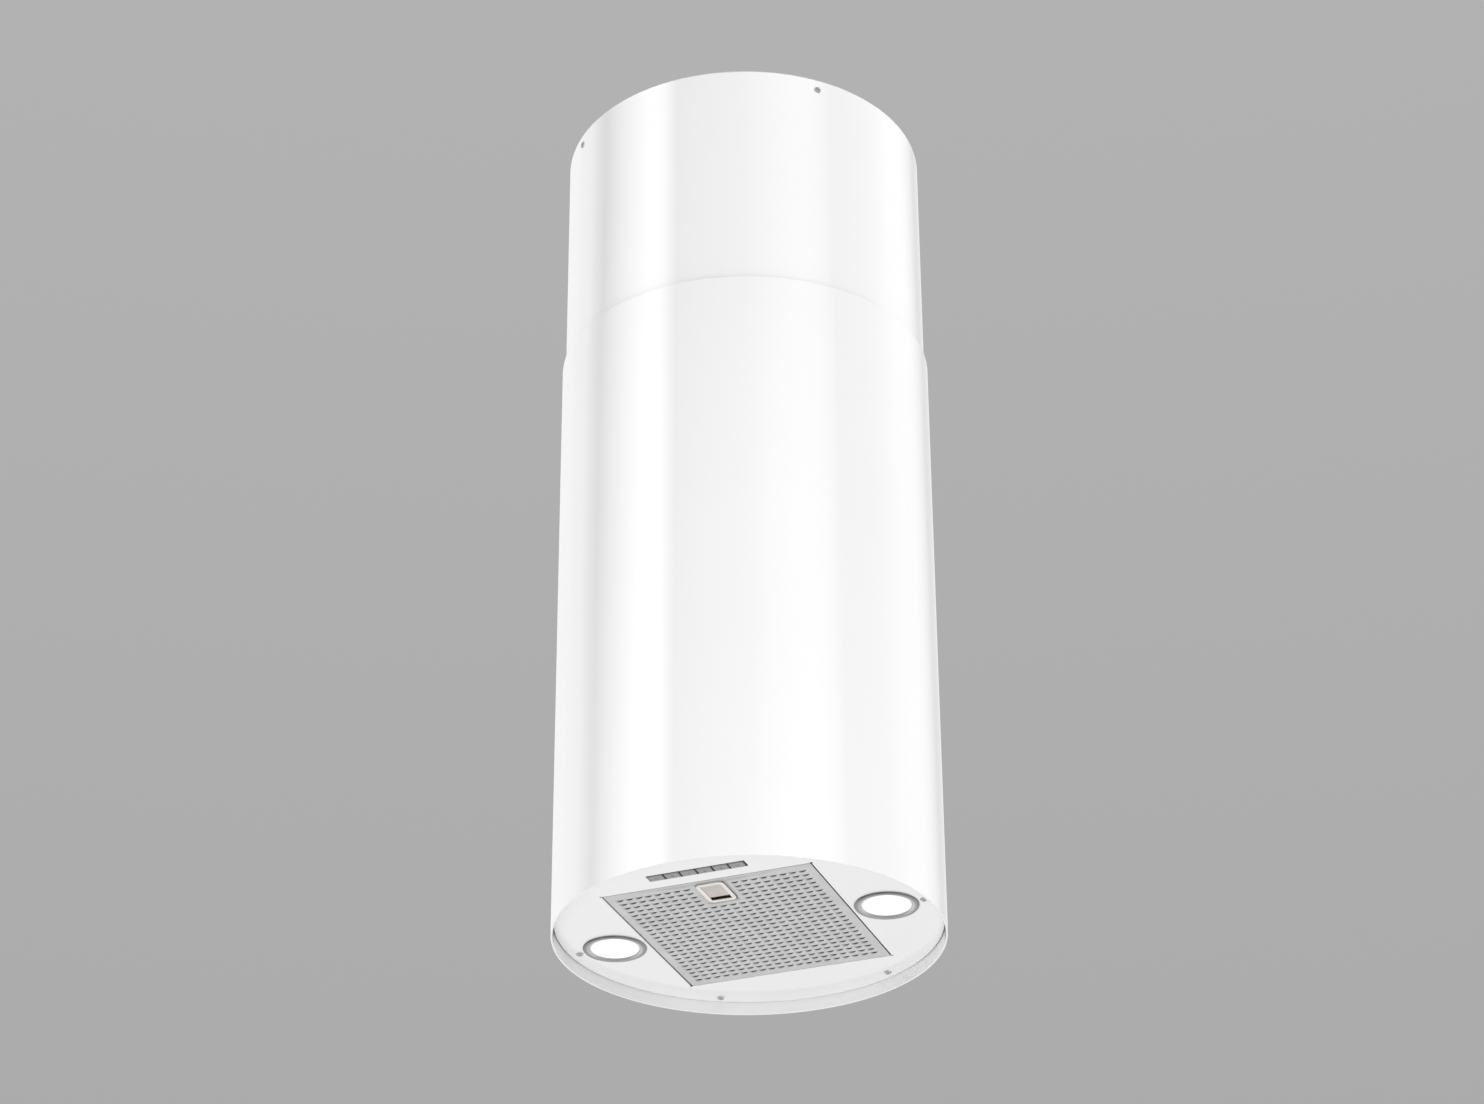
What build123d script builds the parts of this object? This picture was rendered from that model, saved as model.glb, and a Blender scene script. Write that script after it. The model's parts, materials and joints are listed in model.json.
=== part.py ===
from build123d import *
import os
from math import cos, radians, sin, sqrt

# Round island cooker hood that hangs from a ceiling. Millimetres, +Z up, origin at the centre of
# the ceiling plate's top face. The front, with the buttons and the filter latch, faces -Y.

# Casing and sleeve
CASING_DIAMETER = 390.0
CASING_HEIGHT = 652.0
CASING_WALL = 1.0
HEM_DEPTH = 16.0
RIM_FLAT = 0.2
TOTAL_HEIGHT = 916.0
SLEEVE_GAP = 2.5
SLEEVE_WALL = 1.0
SLEEVE_OVERLAP = 70.0
CEILING_GAP = 1.5
SLEEVE_SCREW_DROP = 12.0
SLEEVE_SCREW_R = 2.0
SLEEVE_SCREW_ANGLES = (45, 135, 225, 315)
GUIDE_SIZE = 30.0
GUIDE_ANGLES = (0, 90, 180, 270)
GUIDE_FIT = 0.3

# Ceiling plate
PLATE_THICKNESS = 3.0
PLATE_SKIRT = 25.0
PLATE_SKIRT_WALL = 2.0
PLATE_FIT = 0.4
DUCT_OPENING_DIAMETER = 224.0
FIXING_SPACING_X = 140.0
FIXING_SPACING_Y = 280.0
FIXING_SLOT_LENGTH = 20.0
FIXING_SLOT_WIDTH = 8.5

# Telescopic frame
RAIL_LEG = 25.0
RAIL_THICKNESS = 1.5
RAIL_GAP = 0.3
LOWER_RAIL_LENGTH = 400.0
RAIL_OVERLAP = 76.0
RAIL_GRIP = 100.0
HOOD_TRAVEL = 180.0
CLAMP_BOLT_INSET = 18.0
CLAMP_BOLT_SPACING = 40.0
FIXING_BOLT_INSET = 22.0
FIXING_BOLT_SPACING = 50.0
BOLT_R = 2.5
BOLT_CLEARANCE = 0.2
SLOT_CLEARANCE = 0.5

# Fastener shapes, as multiples of the shank's radius
HEX_FLATS = 3.2
HEX_HEAD = 1.4
HEX_NUT = 1.6
PAN_HEAD_R = 1.8

# Panel, base ring and blower box
PANEL_RECESS = 13.0
PANEL_THICKNESS = 1.0
PANEL_SKIRT = 14.0
PANEL_GAP = 0.6
PANEL_HOLE_GAP = 0.4
PANEL_SCREW_INSET = 11.4
PANEL_SCREW_COUNT = 6
PANEL_SCREW_R = 2.0
RING_THICKNESS = 1.5
RING_FLANGE = 10.0
RING_LIP = 2.0
WELD_GAP = 0.2
BOX_WIDTH = 244.0
RAIL_MARGIN = 9.0
BOX_HEIGHT = 300.0
BOX_WALL = 1.0
BOX_FLANGE = 12.0
BOX_BOLT_Y = 70.0
BRACE_WIDTH = 40.0
BRACE_HEIGHT = 24.0
BRACE_DROP = 84.0

# Blower
IMPELLER_R = 65.0
IMPELLER_WIDTH = 80.0
BLADE_COUNT = 30
BLADE_DEPTH = 11.0
BLADE_THICKNESS = 1.2
BLADE_LEAN = 7.0
BLADE_MID_LEAN = 1.4
IMPELLER_RING = 5.0
IMPELLER_SHEET = 2.0
HUB_R = 11.0
HUB_LENGTH = 28.0
SHAFT_R = 4.0
SHAFT_FIT = 0.05
CUTOFF_GAP = 4.0
SCROLL_GROWTH = 6.5
SCROLL_WALL = 2.0
SCROLL_SIDE_GAP = 6.0
SCROLL_MARGIN = 1.0
TONGUE_ANGLE = 72.0
OUTLET_LENGTH = 130.0
OUTLET_FLANGE = 8.0
INLET_GAP = 2.0
INLET_LIP = 4.0
MOTOR_R = 40.0
MOTOR_LENGTH = 44.0
MOTOR_SHIELD_R = 28.0
MOTOR_STEP = 5.5
MOTOR_GAP = 4.0
SPIDER_SHEET = 2.5
SPIDER_ARM = 10.0
SPIDER_TURNS = (90, 210, 330)

# Duct collar and damper
COLLAR_DIAMETER = 149.0
COLLAR_WALL = 2.5
COLLAR_HEIGHT = 58.0
COLLAR_FLANGE = 10.0
DAMPER_HEIGHT = 22.0
DAMPER_PIN_R = 2.0
DAMPER_FIT = 0.06
FLAP_THICKNESS = 1.6
FLAP_GAP = 0.5
FLAP_SEAT_GAP = 0.3
KNUCKLE_WALL = 1.2
KNUCKLE_COUNT = 4
KNUCKLE_SPACE = 0.6
LEDGE = 3.0

# Electrics
CONTROL_DEPTH = 38.0
CONTROL_WIDTH = 110.0
CONTROL_HEIGHT = 160.0
CONTROL_LIFT = 34.0
CONTROL_WALL = 1.5
LID_LIP = 6.0
LID_FIT = 0.3
GLAND_BORE_R = 4.25
GLAND_THREAD_R = 8.0
GLAND_HEX = 22.0
GLAND_REACH = 24.0
GLAND_NUT = 4.8
GLAND_CAP = 12.0
GLAND_Y = 30.0
CAPACITOR_R = 18.0
CAPACITOR_LENGTH = 70.0
CAPACITOR_LIFT = 95.0
CLIP_SHEET = 1.2
CLIP_WIDTH = 12.0
CLIP_FIT = 0.2

# Lamps
LAMP_MARGIN = 17.4
LAMP_GAP = 3.3
BEZEL_R = 32.0
BEZEL_HEIGHT = 1.8
LENS_R = 25.0
LENS_THICKNESS = 2.0
LENS_FIT = 0.2
LAMP_NECK_WALL = 2.4
LAMP_NECK_HEIGHT = 4.0
LAMP_BODY_HEIGHT = 8.0
LAMP_CLIP_REACH = 12.0
LAMP_CLIP_WIDTH = 8.0
LAMP_CLIP_SHEET = 0.8
LAMP_CLIP_GAP = 0.2
LAMP_RIB = 1.6

# Buttons
BUTTON_COUNT = 6
BUTTON_PITCH = 16.5
BUTTON_DEPTH = 9.0
BUTTON_PROUD = 1.0
BUTTON_GAP = 0.3
BUTTON_RIB = 1.0
BUTTON_TRAVEL = 2.0
BUTTON_ROOM = 22.2
BUTTON_RIM = 1.0
BUTTON_SHOULDER = 0.6
FRAME_PROUD = 0.4
FRAME_DEPTH = 2.5
FRAME_FLANGE = 2.5
HOUSING_HEIGHT = 10.8
HOUSING_WALL = 1.2

# Grease filter
FILTER_DEPTH = 236.0
FILTER_THICKNESS = 9.0
FILTER_SIDE_GAP = 1.2
FILTER_END_GAP = 0.8
FILTER_SHEET = 0.8
FILTER_LIP = 8.0
FILTER_FIT = 0.3
FILTER_UPSTAND = 6.0
LOUVRE_COLUMNS = 20
LOUVRE_ROWS = 23
LOUVRE_BORDER_X = 7.5
LOUVRE_BORDER_Y = 8.75
LOUVRE_WIDTH = 7.4
LOUVRE_DEPTH = 4.6
LOUVRE_HEIGHT = 1.4
LOUVRE_CROWN = 0.6
LATCH_FLAT_COLUMNS = 4
LATCH_FLAT_ROWS = 5
PLEAT_COUNT = 20
BACK_BARS = 4
BACK_BAR_WIDTH = 6.0
TAB_WIDTH = 20.0
TAB_X = 60.0
TAB_REACH = 8.0
TAB_LIFT = 0.4

# Filter latch
LATCH_FRONT = 11.5
POCKET_WIDTH = 20.5
POCKET_LENGTH = 34.0
POCKET_DEPTH = 5.5
LATCH_RIM = 4.2
LATCH_WALL = 1.0
LATCH_PLATE = 0.8
LATCH_FIT = 0.3
SLIDER_LENGTH = 23.5
SLIDER_DISH_R = 14.0
SLIDER_DISH_DEPTH = 1.6
TONGUE_WIDTH = 12.0
TONGUE_THICKNESS = 1.5
TONGUE_REACH = 4.0
SPRING_LEAF = 0.4
SPRING_WIDTH = 3.0

# Heights and radii that follow from the sizes above
CASING_R = CASING_DIAMETER / 2
CASING_INNER_R = CASING_R - CASING_WALL
HEM_R = CASING_INNER_R - CASING_WALL
SLEEVE_R = CASING_INNER_R - SLEEVE_GAP
SLEEVE_INNER_R = SLEEVE_R - SLEEVE_WALL
PLATE_R = SLEEVE_INNER_R - PLATE_FIT
RIM_Z = -TOTAL_HEIGHT
CASING_TOP = RIM_Z + CASING_HEIGHT
SLEEVE_BOTTOM = CASING_TOP - SLEEVE_OVERLAP
SLEEVE_SCREW_Z = -CEILING_GAP - SLEEVE_SCREW_DROP
PANEL_Z = RIM_Z + PANEL_RECESS
PANEL_TOP = PANEL_Z + PANEL_THICKNESS
PANEL_R = HEM_R - PANEL_GAP
PANEL_SCREW_CIRCLE_R = PANEL_R - PANEL_SCREW_INSET
LAMP_X = PANEL_R - LAMP_MARGIN - BEZEL_R
RING_Z = PANEL_Z + PANEL_SKIRT
BOX_Z = RING_Z + RING_THICKNESS
BOX_TOP = BOX_Z + BOX_HEIGHT
LOWER_RAIL_BOTTOM = BOX_TOP - RAIL_GRIP
LOWER_RAIL_TOP = LOWER_RAIL_BOTTOM + LOWER_RAIL_LENGTH
UPPER_RAIL_BOTTOM = LOWER_RAIL_TOP - RAIL_OVERLAP
RAIL_STACK = 2 * RAIL_THICKNESS + RAIL_GAP
CORNER_X = BOX_WIDTH / 2 + RAIL_STACK
CORNER_Y = sqrt((SLEEVE_INNER_R - RAIL_MARGIN) ** 2 - CORNER_X**2)
BOX_DEPTH = 2 * (CORNER_Y - RAIL_STACK)
UPPER_CORNER = (CORNER_X, CORNER_Y)
LOWER_CORNER = (BOX_WIDTH / 2 + RAIL_THICKNESS, BOX_DEPTH / 2 + RAIL_THICKNESS)
CLAMP_BOLT_Z = [LOWER_RAIL_TOP - CLAMP_BOLT_INSET - n * CLAMP_BOLT_SPACING for n in range(2)]
FIXING_BOLT_Z = [BOX_TOP - FIXING_BOLT_INSET - n * FIXING_BOLT_SPACING for n in range(2)]
SCROLL_R = IMPELLER_R + CUTOFF_GAP
SCROLL_LEFT = SCROLL_GROWTH / 2 + SCROLL_R + SCROLL_GROWTH + SCROLL_WALL
IMPELLER_Y = -(BOX_DEPTH / 2 - BOX_WALL - SCROLL_MARGIN - SCROLL_LEFT)
IMPELLER_Z = BOX_TOP - BOX_WALL - OUTLET_LENGTH
SCROLL_HALF = IMPELLER_WIDTH / 2 + SCROLL_SIDE_GAP
INLET_R = IMPELLER_R - BLADE_DEPTH + INLET_GAP
MOTOR_X = HUB_LENGTH / 2 + MOTOR_GAP
COLLAR_R = COLLAR_DIAMETER / 2
COLLAR_INNER_R = COLLAR_R - COLLAR_WALL
DAMPER_Z = BOX_TOP + DAMPER_HEIGHT
KNUCKLE_R = DAMPER_PIN_R + DAMPER_FIT + KNUCKLE_WALL
CONTROL_Z = BOX_Z + CONTROL_LIFT
CONTROL_TOP = CONTROL_Z + CONTROL_HEIGHT
CONTROL_X = BOX_WIDTH / 2
NECK_R = LENS_R + LENS_FIT + LAMP_NECK_WALL
STRIP_LENGTH = BUTTON_COUNT * BUTTON_PITCH
WINDOW_X = BUTTON_PITCH - BUTTON_RIB
WINDOW_Y = BUTTON_DEPTH + 2 * BUTTON_GAP
FRAME_X = STRIP_LENGTH + BUTTON_RIM
FRAME_Y = WINDOW_Y + 2 * BUTTON_RIM
FILTER_X = LAMP_X - BEZEL_R - LAMP_GAP - FILTER_SIDE_GAP
FILTER_Y = FILTER_DEPTH / 2
BUTTON_Y = -FILTER_Y - FILTER_END_GAP - BUTTON_ROOM
FILTER_TOP = PANEL_Z + FILTER_THICKNESS
FACE_TOP = PANEL_Z + FILTER_SHEET
FIELD_TOP = FACE_TOP + LOUVRE_HEIGHT
FIELD_X = FILTER_X - LOUVRE_BORDER_X
FIELD_Y = FILTER_Y - LOUVRE_BORDER_Y
LOUVRE_PITCH_X = 2 * FIELD_X / LOUVRE_COLUMNS
LOUVRE_PITCH_Y = 2 * FIELD_Y / LOUVRE_ROWS
FLAT_X = LATCH_FLAT_COLUMNS / 2 * LOUVRE_PITCH_X
FLAT_Y = LATCH_FLAT_ROWS * LOUVRE_PITCH_Y - FIELD_Y
TONGUE_Z = PANEL_TOP + TAB_LIFT
POCKET_FRONT = -FILTER_Y + LATCH_FRONT
POCKET_REAR = POCKET_FRONT + POCKET_LENGTH

CORNERS = ((1, 1), (1, -1), (-1, -1), (-1, 1))
UP = (0, 0, 1)
QUARTER = 90


def block(x_range, y_range, z_range):
    """A box given by its limits along X, Y and Z."""
    limits = (x_range, y_range, z_range)
    size = [high - low for low, high in limits]
    middle = [(high + low) / 2 for low, high in limits]
    return Pos(*middle) * Box(*size)


def both(half):
    """Limits that lie evenly about zero."""
    return (-half, half)


def tube(outer_r, inner_r, low, high):
    """A round tube about Z between two heights."""
    return Pos(0, 0, low) * extrude(Circle(outer_r) - Circle(inner_r), high - low)


def turned(points):
    """A closed outline of (radius, height) points turned about Z."""
    return revolve(Plane.XZ * make_face(Polyline(*points, close=True)), Axis.Z)


def rod(start, direction, radius, length):
    """A round bar from a point along a direction."""
    return extrude(Plane(start, z_dir=direction) * Circle(radius), length)


def hexagon(start, direction, across, length):
    """A hexagon bar, sized across its flats."""
    face = RegularPolygon(across / 2, 6, major_radius=False)
    return extrude(Plane(start, z_dir=direction) * face, length)


def along_x(face, low, high):
    """A face drawn in (y, z) about the impeller's axis, carried along X."""
    plane = Plane((low, IMPELLER_Y, IMPELLER_Z), x_dir=(0, 1, 0), z_dir=(1, 0, 0))
    return extrude(plane * face, high - low, dir=(1, 0, 0))


def bolt(seat, direction, radius, grip):
    """A hexagon bolt: its head stands behind the seat and its nut beyond the grip."""
    seat = Vector(seat)
    way = Vector(direction)
    across = HEX_FLATS * radius
    head_height = HEX_HEAD * radius
    nut_height = HEX_NUT * radius
    head = hexagon(seat - way * head_height, way, across, head_height)
    shank = rod(seat, way, radius, grip + nut_height)
    nut = hexagon(seat + way * grip, way, across, nut_height)
    return head + shank + nut


def pan_screw(seat, direction, radius, length):
    """A pan-head screw whose flat seat lies at a point, its shank running along the direction."""
    head_height = radius
    seat = Vector(seat)
    way = Vector(direction)
    head = rod(seat - way * head_height, way, PAN_HEAD_R * radius, head_height)
    head = chamfer(head.faces().sort_by(Axis(seat, way))[0].edges(), head_height / 3)
    return head + rod(seat, way, radius, length)


def ceiling_plate():
    """Round plate with a downturned skirt, four fixing slots and the duct opening."""
    body = tube(PLATE_R, DUCT_OPENING_DIAMETER / 2, -PLATE_THICKNESS, 0)
    body += tube(PLATE_R, PLATE_R - PLATE_SKIRT_WALL, -PLATE_SKIRT, -PLATE_THICKNESS)
    slot = extrude(SlotOverall(FIXING_SLOT_LENGTH, FIXING_SLOT_WIDTH), PLATE_THICKNESS)
    for side_x, side_y in CORNERS:
        place = (side_x * FIXING_SPACING_X / 2, side_y * FIXING_SPACING_Y / 2, -PLATE_THICKNESS)
        body -= Pos(*place) * slot
        body -= foot_bolt(side_x, side_y, BOLT_CLEARANCE)
    half = SLEEVE_SCREW_R + SLOT_CLEARANCE
    notch = block((PLATE_R - 2 * PLATE_SKIRT_WALL, PLATE_R), both(half), (-PLATE_SKIRT, SLEEVE_SCREW_Z))
    notch += rod((PLATE_R - 2 * PLATE_SKIRT_WALL, 0, SLEEVE_SCREW_Z), (1, 0, 0), half, 2 * PLATE_SKIRT_WALL)
    for angle in SLEEVE_SCREW_ANGLES:
        body -= Rot(0, 0, angle) * notch
    return body


def foot_bolt(side_x, side_y, clearance):
    """The countersunk shank that joins a rail's foot to the plate, without its nut."""
    radius = BOLT_R + clearance
    reach = (RAIL_LEG + RAIL_THICKNESS) / 2
    x = side_x * (UPPER_CORNER[0] - reach)
    y = side_y * (UPPER_CORNER[1] - reach)
    head = Pos(x, y, -BOLT_R / 2) * Cone(radius, 2 * BOLT_R + clearance, BOLT_R)
    return head + rod((x, y, -BOLT_R), (0, 0, -1), radius, 4 * BOLT_R)


def rail_foot_bolts():
    """Four countersunk bolts with their nuts under the rails' feet."""
    bolts = []
    for side_x, side_y in CORNERS:
        shank = foot_bolt(side_x, side_y, 0)
        middle = shank.center()
        seat = (middle.X, middle.Y, -PLATE_THICKNESS - RAIL_THICKNESS)
        bolts.append(shank + hexagon(seat, (0, 0, -1), HEX_FLATS * BOLT_R, HEX_NUT * BOLT_R))
    return Compound(bolts)


def angle_rail(side_x, side_y, corner, low, high):
    """An upright angle rail with its outer corner at one corner of the frame."""
    leg, sheet = RAIL_LEG, RAIL_THICKNESS
    outline = [(0, 0), (-leg, 0), (-leg, -sheet), (-sheet, -sheet), (-sheet, -leg), (0, -leg)]
    points = [(side_x * (corner[0] + u), side_y * (corner[1] + v)) for u, v in outline]
    face = make_face(Polyline(*points, close=True))
    return Pos(0, 0, low) * extrude(face, high - low, dir=UP)


def rail_hole(side_x, side_y, z_low, z_high, radius):
    """A round hole, or an upright slot, through the side leg of both rails of a corner."""
    y = side_y * (UPPER_CORNER[1] - RAIL_LEG / 2)
    x_range = sorted((side_x * (BOX_WIDTH / 2 - RAIL_LEG / 2), side_x * (UPPER_CORNER[0] + RAIL_THICKNESS)))
    length = x_range[1] - x_range[0]
    cut = rod((x_range[0], y, z_low), (1, 0, 0), radius, length)
    if z_high > z_low:
        cut += rod((x_range[0], y, z_high), (1, 0, 0), radius, length)
        cut += block(x_range, (y - radius, y + radius), (z_low, z_high))
    return cut


def upper_rail(side_x, side_y):
    """Rail under the ceiling plate: a foot for the bolt and a long slot for the clamp bolts."""
    body = angle_rail(side_x, side_y, UPPER_CORNER, UPPER_RAIL_BOTTOM, -PLATE_THICKNESS)
    foot_x = sorted(side_x * (UPPER_CORNER[0] - r) for r in (RAIL_LEG, RAIL_THICKNESS))
    foot_y = sorted(side_y * (UPPER_CORNER[1] - r) for r in (RAIL_LEG, RAIL_THICKNESS))
    body += block(foot_x, foot_y, (-PLATE_THICKNESS - RAIL_THICKNESS, -PLATE_THICKNESS))
    body -= foot_bolt(side_x, side_y, BOLT_CLEARANCE)
    slot_top = CLAMP_BOLT_Z[0] + HOOD_TRAVEL
    return body - rail_hole(side_x, side_y, CLAMP_BOLT_Z[1], slot_top, BOLT_R + SLOT_CLEARANCE)


def lower_rail(side_x, side_y):
    """Rail bolted to the blower box, with holes for its two pairs of bolts."""
    body = angle_rail(side_x, side_y, LOWER_CORNER, LOWER_RAIL_BOTTOM, LOWER_RAIL_TOP)
    for z in CLAMP_BOLT_Z + FIXING_BOLT_Z:
        body -= rail_hole(side_x, side_y, z, z, BOLT_R + BOLT_CLEARANCE)
    return body


def rail_bolts(heights, seat_x, grip):
    """Bolts through the side legs of the four corners, their heads outside."""
    bolts = []
    for side_x, side_y in CORNERS:
        y = side_y * (UPPER_CORNER[1] - RAIL_LEG / 2)
        for z in heights:
            bolts.append(bolt((side_x * seat_x, y, z), (-side_x, 0, 0), BOLT_R, grip))
    return Compound(bolts)


def upper_sleeve():
    """Narrow tube that hides the frame below the ceiling."""
    body = tube(SLEEVE_R, SLEEVE_INNER_R, SLEEVE_BOTTOM, -CEILING_GAP)
    hole = SLEEVE_SCREW_R + BOLT_CLEARANCE
    for angle in SLEEVE_SCREW_ANGLES:
        cut = rod((SLEEVE_INNER_R - SLEEVE_WALL, 0, SLEEVE_SCREW_Z), (1, 0, 0), hole, 3 * SLEEVE_WALL)
        body -= Rot(0, 0, angle) * cut
    return body


def sleeve_screws():
    """Screws through the sleeve and the notches of the plate's skirt, each with its nut."""
    nut_r = PLATE_R - PLATE_SKIRT_WALL - PLATE_FIT
    seat = (SLEEVE_R, 0, SLEEVE_SCREW_Z)
    screw = pan_screw(seat, (-1, 0, 0), SLEEVE_SCREW_R, SLEEVE_R - nut_r + 2 * SLEEVE_SCREW_R)
    across, height = HEX_FLATS * SLEEVE_SCREW_R, HEX_NUT * SLEEVE_SCREW_R
    nut = hexagon((nut_r, 0, SLEEVE_SCREW_Z), (-1, 0, 0), across, height)
    return Compound([Rot(0, 0, angle) * (screw + nut) for angle in SLEEVE_SCREW_ANGLES])


def lower_casing():
    """Wide tube whose two edges are hemmed inwards, the lower one rounded."""
    bend = CASING_WALL - RIM_FLAT / 2
    outline = [
        (CASING_R, RIM_Z),
        (CASING_R, CASING_TOP),
        (HEM_R, CASING_TOP),
        (HEM_R, CASING_TOP - HEM_DEPTH),
        (CASING_INNER_R, CASING_TOP - HEM_DEPTH),
        (CASING_INNER_R, RIM_Z + HEM_DEPTH),
        (HEM_R, RIM_Z + HEM_DEPTH),
        (HEM_R, RIM_Z),
    ]
    face = make_face(Polyline(*outline, close=True))
    rim_corners = face.vertices().filter_by_position(Axis.Y, RIM_Z - bend, RIM_Z + bend)
    return revolve(Plane.XZ * fillet(rim_corners, bend), Axis.Z)


def sleeve_guides():
    """Pads on the casing's inner wall that keep the sleeve centred."""
    top = CASING_TOP - HEM_DEPTH - WELD_GAP
    ring = tube(CASING_INNER_R - WELD_GAP, SLEEVE_R + GUIDE_FIT, top - GUIDE_SIZE, top)
    pad = ring & block((0, CASING_R), both(GUIDE_SIZE / 2), (top - GUIDE_SIZE, top))
    return Compound([Rot(0, 0, angle) * pad for angle in GUIDE_ANGLES])


def panel_screw_places(z):
    """Points evenly round the panel, the first on +X."""
    step = 360 / PANEL_SCREW_COUNT
    turns = [radians(n * step) for n in range(PANEL_SCREW_COUNT)]
    return [(PANEL_SCREW_CIRCLE_R * cos(a), PANEL_SCREW_CIRCLE_R * sin(a), z) for a in turns]


def base_ring():
    """Ring welded into the casing, which carries the blower box and the bottom panel."""
    outer_r = CASING_INNER_R - WELD_GAP
    shrink = 2 * (BOX_FLANGE + RING_LIP)
    opening = Rectangle(BOX_WIDTH - shrink, BOX_DEPTH - shrink)
    body = Pos(0, 0, RING_Z) * extrude(Circle(outer_r) - opening, RING_THICKNESS)
    body += tube(outer_r, outer_r - RING_THICKNESS, BOX_Z, BOX_Z + RING_FLANGE)
    for place in panel_screw_places(RING_Z):
        body -= rod(place, UP, PANEL_SCREW_R + BOLT_CLEARANCE, RING_THICKNESS)
    for x, y in box_bolt_places():
        body -= rod((x, y, RING_Z), UP, BOLT_R + BOLT_CLEARANCE, RING_THICKNESS)
    return body


def box_bolt_places():
    """Middles of the four bolts through the blower box's flange."""
    x = BOX_WIDTH / 2 - BOX_WALL - BOX_FLANGE / 2
    return [(side_x * x, side_y * BOX_BOLT_Y) for side_x, side_y in CORNERS]


def blower_box():
    """Sheet box, open below with an inward flange, that holds the blower."""
    half_x, half_y = BOX_WIDTH / 2, BOX_DEPTH / 2
    body = block(both(half_x), both(half_y), (BOX_Z, BOX_TOP))
    inner_z = (BOX_Z + BOX_WALL, BOX_TOP - BOX_WALL)
    body -= block(both(half_x - BOX_WALL), both(half_y - BOX_WALL), inner_z)
    mouth_x, mouth_y = half_x - BOX_FLANGE, half_y - BOX_FLANGE
    body -= block(both(mouth_x), both(mouth_y), (BOX_Z, BOX_Z + BOX_WALL))
    low_y, high_y = outlet_limits()
    body -= block(both(SCROLL_HALF), (low_y, high_y), (BOX_TOP - BOX_WALL, BOX_TOP))
    for x, y in box_bolt_places():
        body -= rod((x, y, BOX_Z), UP, BOLT_R + BOLT_CLEARANCE, BOX_WALL)
    for side_x, side_y in CORNERS:
        for z in FIXING_BOLT_Z:
            body -= rail_hole(side_x, side_y, z, z, BOLT_R + BOLT_CLEARANCE)
    return body


def blower_box_bolts():
    """Bolts up through the ring into the box's flange."""
    grip = RING_THICKNESS + BOX_WALL
    return Compound([bolt((x, y, RING_Z), UP, BOLT_R, grip) for x, y in box_bolt_places()])


def casing_braces():
    """Two sheet brackets, front and rear, that steady the casing against the blower box."""
    half = BRACE_WIDTH / 2
    wall_y = sqrt(CASING_INNER_R**2 - half**2) - WELD_GAP
    box_y = BOX_DEPTH / 2
    top = BOX_TOP - BRACE_DROP
    web = block(both(half), (box_y, wall_y), (top - RAIL_THICKNESS, top))
    inner = block(both(half), (box_y, box_y + RAIL_THICKNESS), (top - BRACE_HEIGHT, top))
    outer = block(both(half), (wall_y - RAIL_THICKNESS, wall_y), (top - BRACE_HEIGHT, top))
    brace = web + inner + outer
    return Compound([brace, Rot(0, 0, 180) * brace])


def scroll_tongue():
    """Where the spiral meets the outlet's inner wall, from the impeller's axis."""
    half = SCROLL_GROWTH / 2
    turn = radians(TONGUE_ANGLE)
    return (-half + SCROLL_R * cos(turn), half + SCROLL_R * sin(turn))


def outlet_limits():
    """The outlet's front and rear walls, along Y."""
    return (IMPELLER_Y + scroll_tongue()[0], IMPELLER_Y + SCROLL_GROWTH / 2 + SCROLL_R + 3 * SCROLL_GROWTH)


def scroll_air():
    """The blower's air space: a spiral of four centres, a quarter turn each, and the upright outlet."""
    half = SCROLL_GROWTH / 2
    centres = [(-half, half), (-half, -half), (half, -half), (half, half)]
    starts = [TONGUE_ANGLE, QUARTER, 2 * QUARTER, 3 * QUARTER]
    sweeps = [QUARTER - TONGUE_ANGLE, QUARTER, QUARTER, QUARTER]
    arcs = [
        CenterArc(centres[n], SCROLL_R + n * SCROLL_GROWTH, starts[n], sweeps[n]) for n in range(4)
    ]
    inner_wall = scroll_tongue()[0]
    outer_wall = half + SCROLL_R + 3 * SCROLL_GROWTH
    mouth = Polyline(arcs[3] @ 1, (outer_wall, OUTLET_LENGTH), (inner_wall, OUTLET_LENGTH), arcs[0] @ 0)
    edges = [edge for line in (*arcs, mouth) for edge in line.edges()]
    return make_face(edges)


def scroll_half(side):
    """One moulded half of the blower housing, split on the middle plane."""
    air = scroll_air()
    skin = offset(air, SCROLL_WALL, kind=Kind.INTERSECTION)
    reach = 4 * SCROLL_R
    skin &= Pos(0, OUTLET_LENGTH - reach) * Rectangle(2 * reach, 2 * reach)
    inner, outer = SCROLL_HALF, SCROLL_HALF + SCROLL_WALL
    wall_range = sorted((side * inner, side * outer))
    wrap_range = sorted((0, side * inner))
    lip_range = sorted((side * (inner - INLET_LIP), side * inner))
    body = along_x(skin - Circle(INLET_R), *wall_range)
    body += along_x(skin - air, *wrap_range)
    body += along_x(Circle(INLET_R + SCROLL_WALL) - Circle(INLET_R), *lip_range)
    low_y, high_y = outlet_limits()
    rim = SCROLL_WALL + OUTLET_FLANGE
    top = BOX_TOP - BOX_WALL
    x_range = sorted((0, side * (inner + rim)))
    flange = block(x_range, (low_y - rim, high_y + rim), (top - SCROLL_WALL, top))
    flange -= block(sorted((0, side * inner)), (low_y, high_y), (top - SCROLL_WALL, top))
    return body + flange


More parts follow.
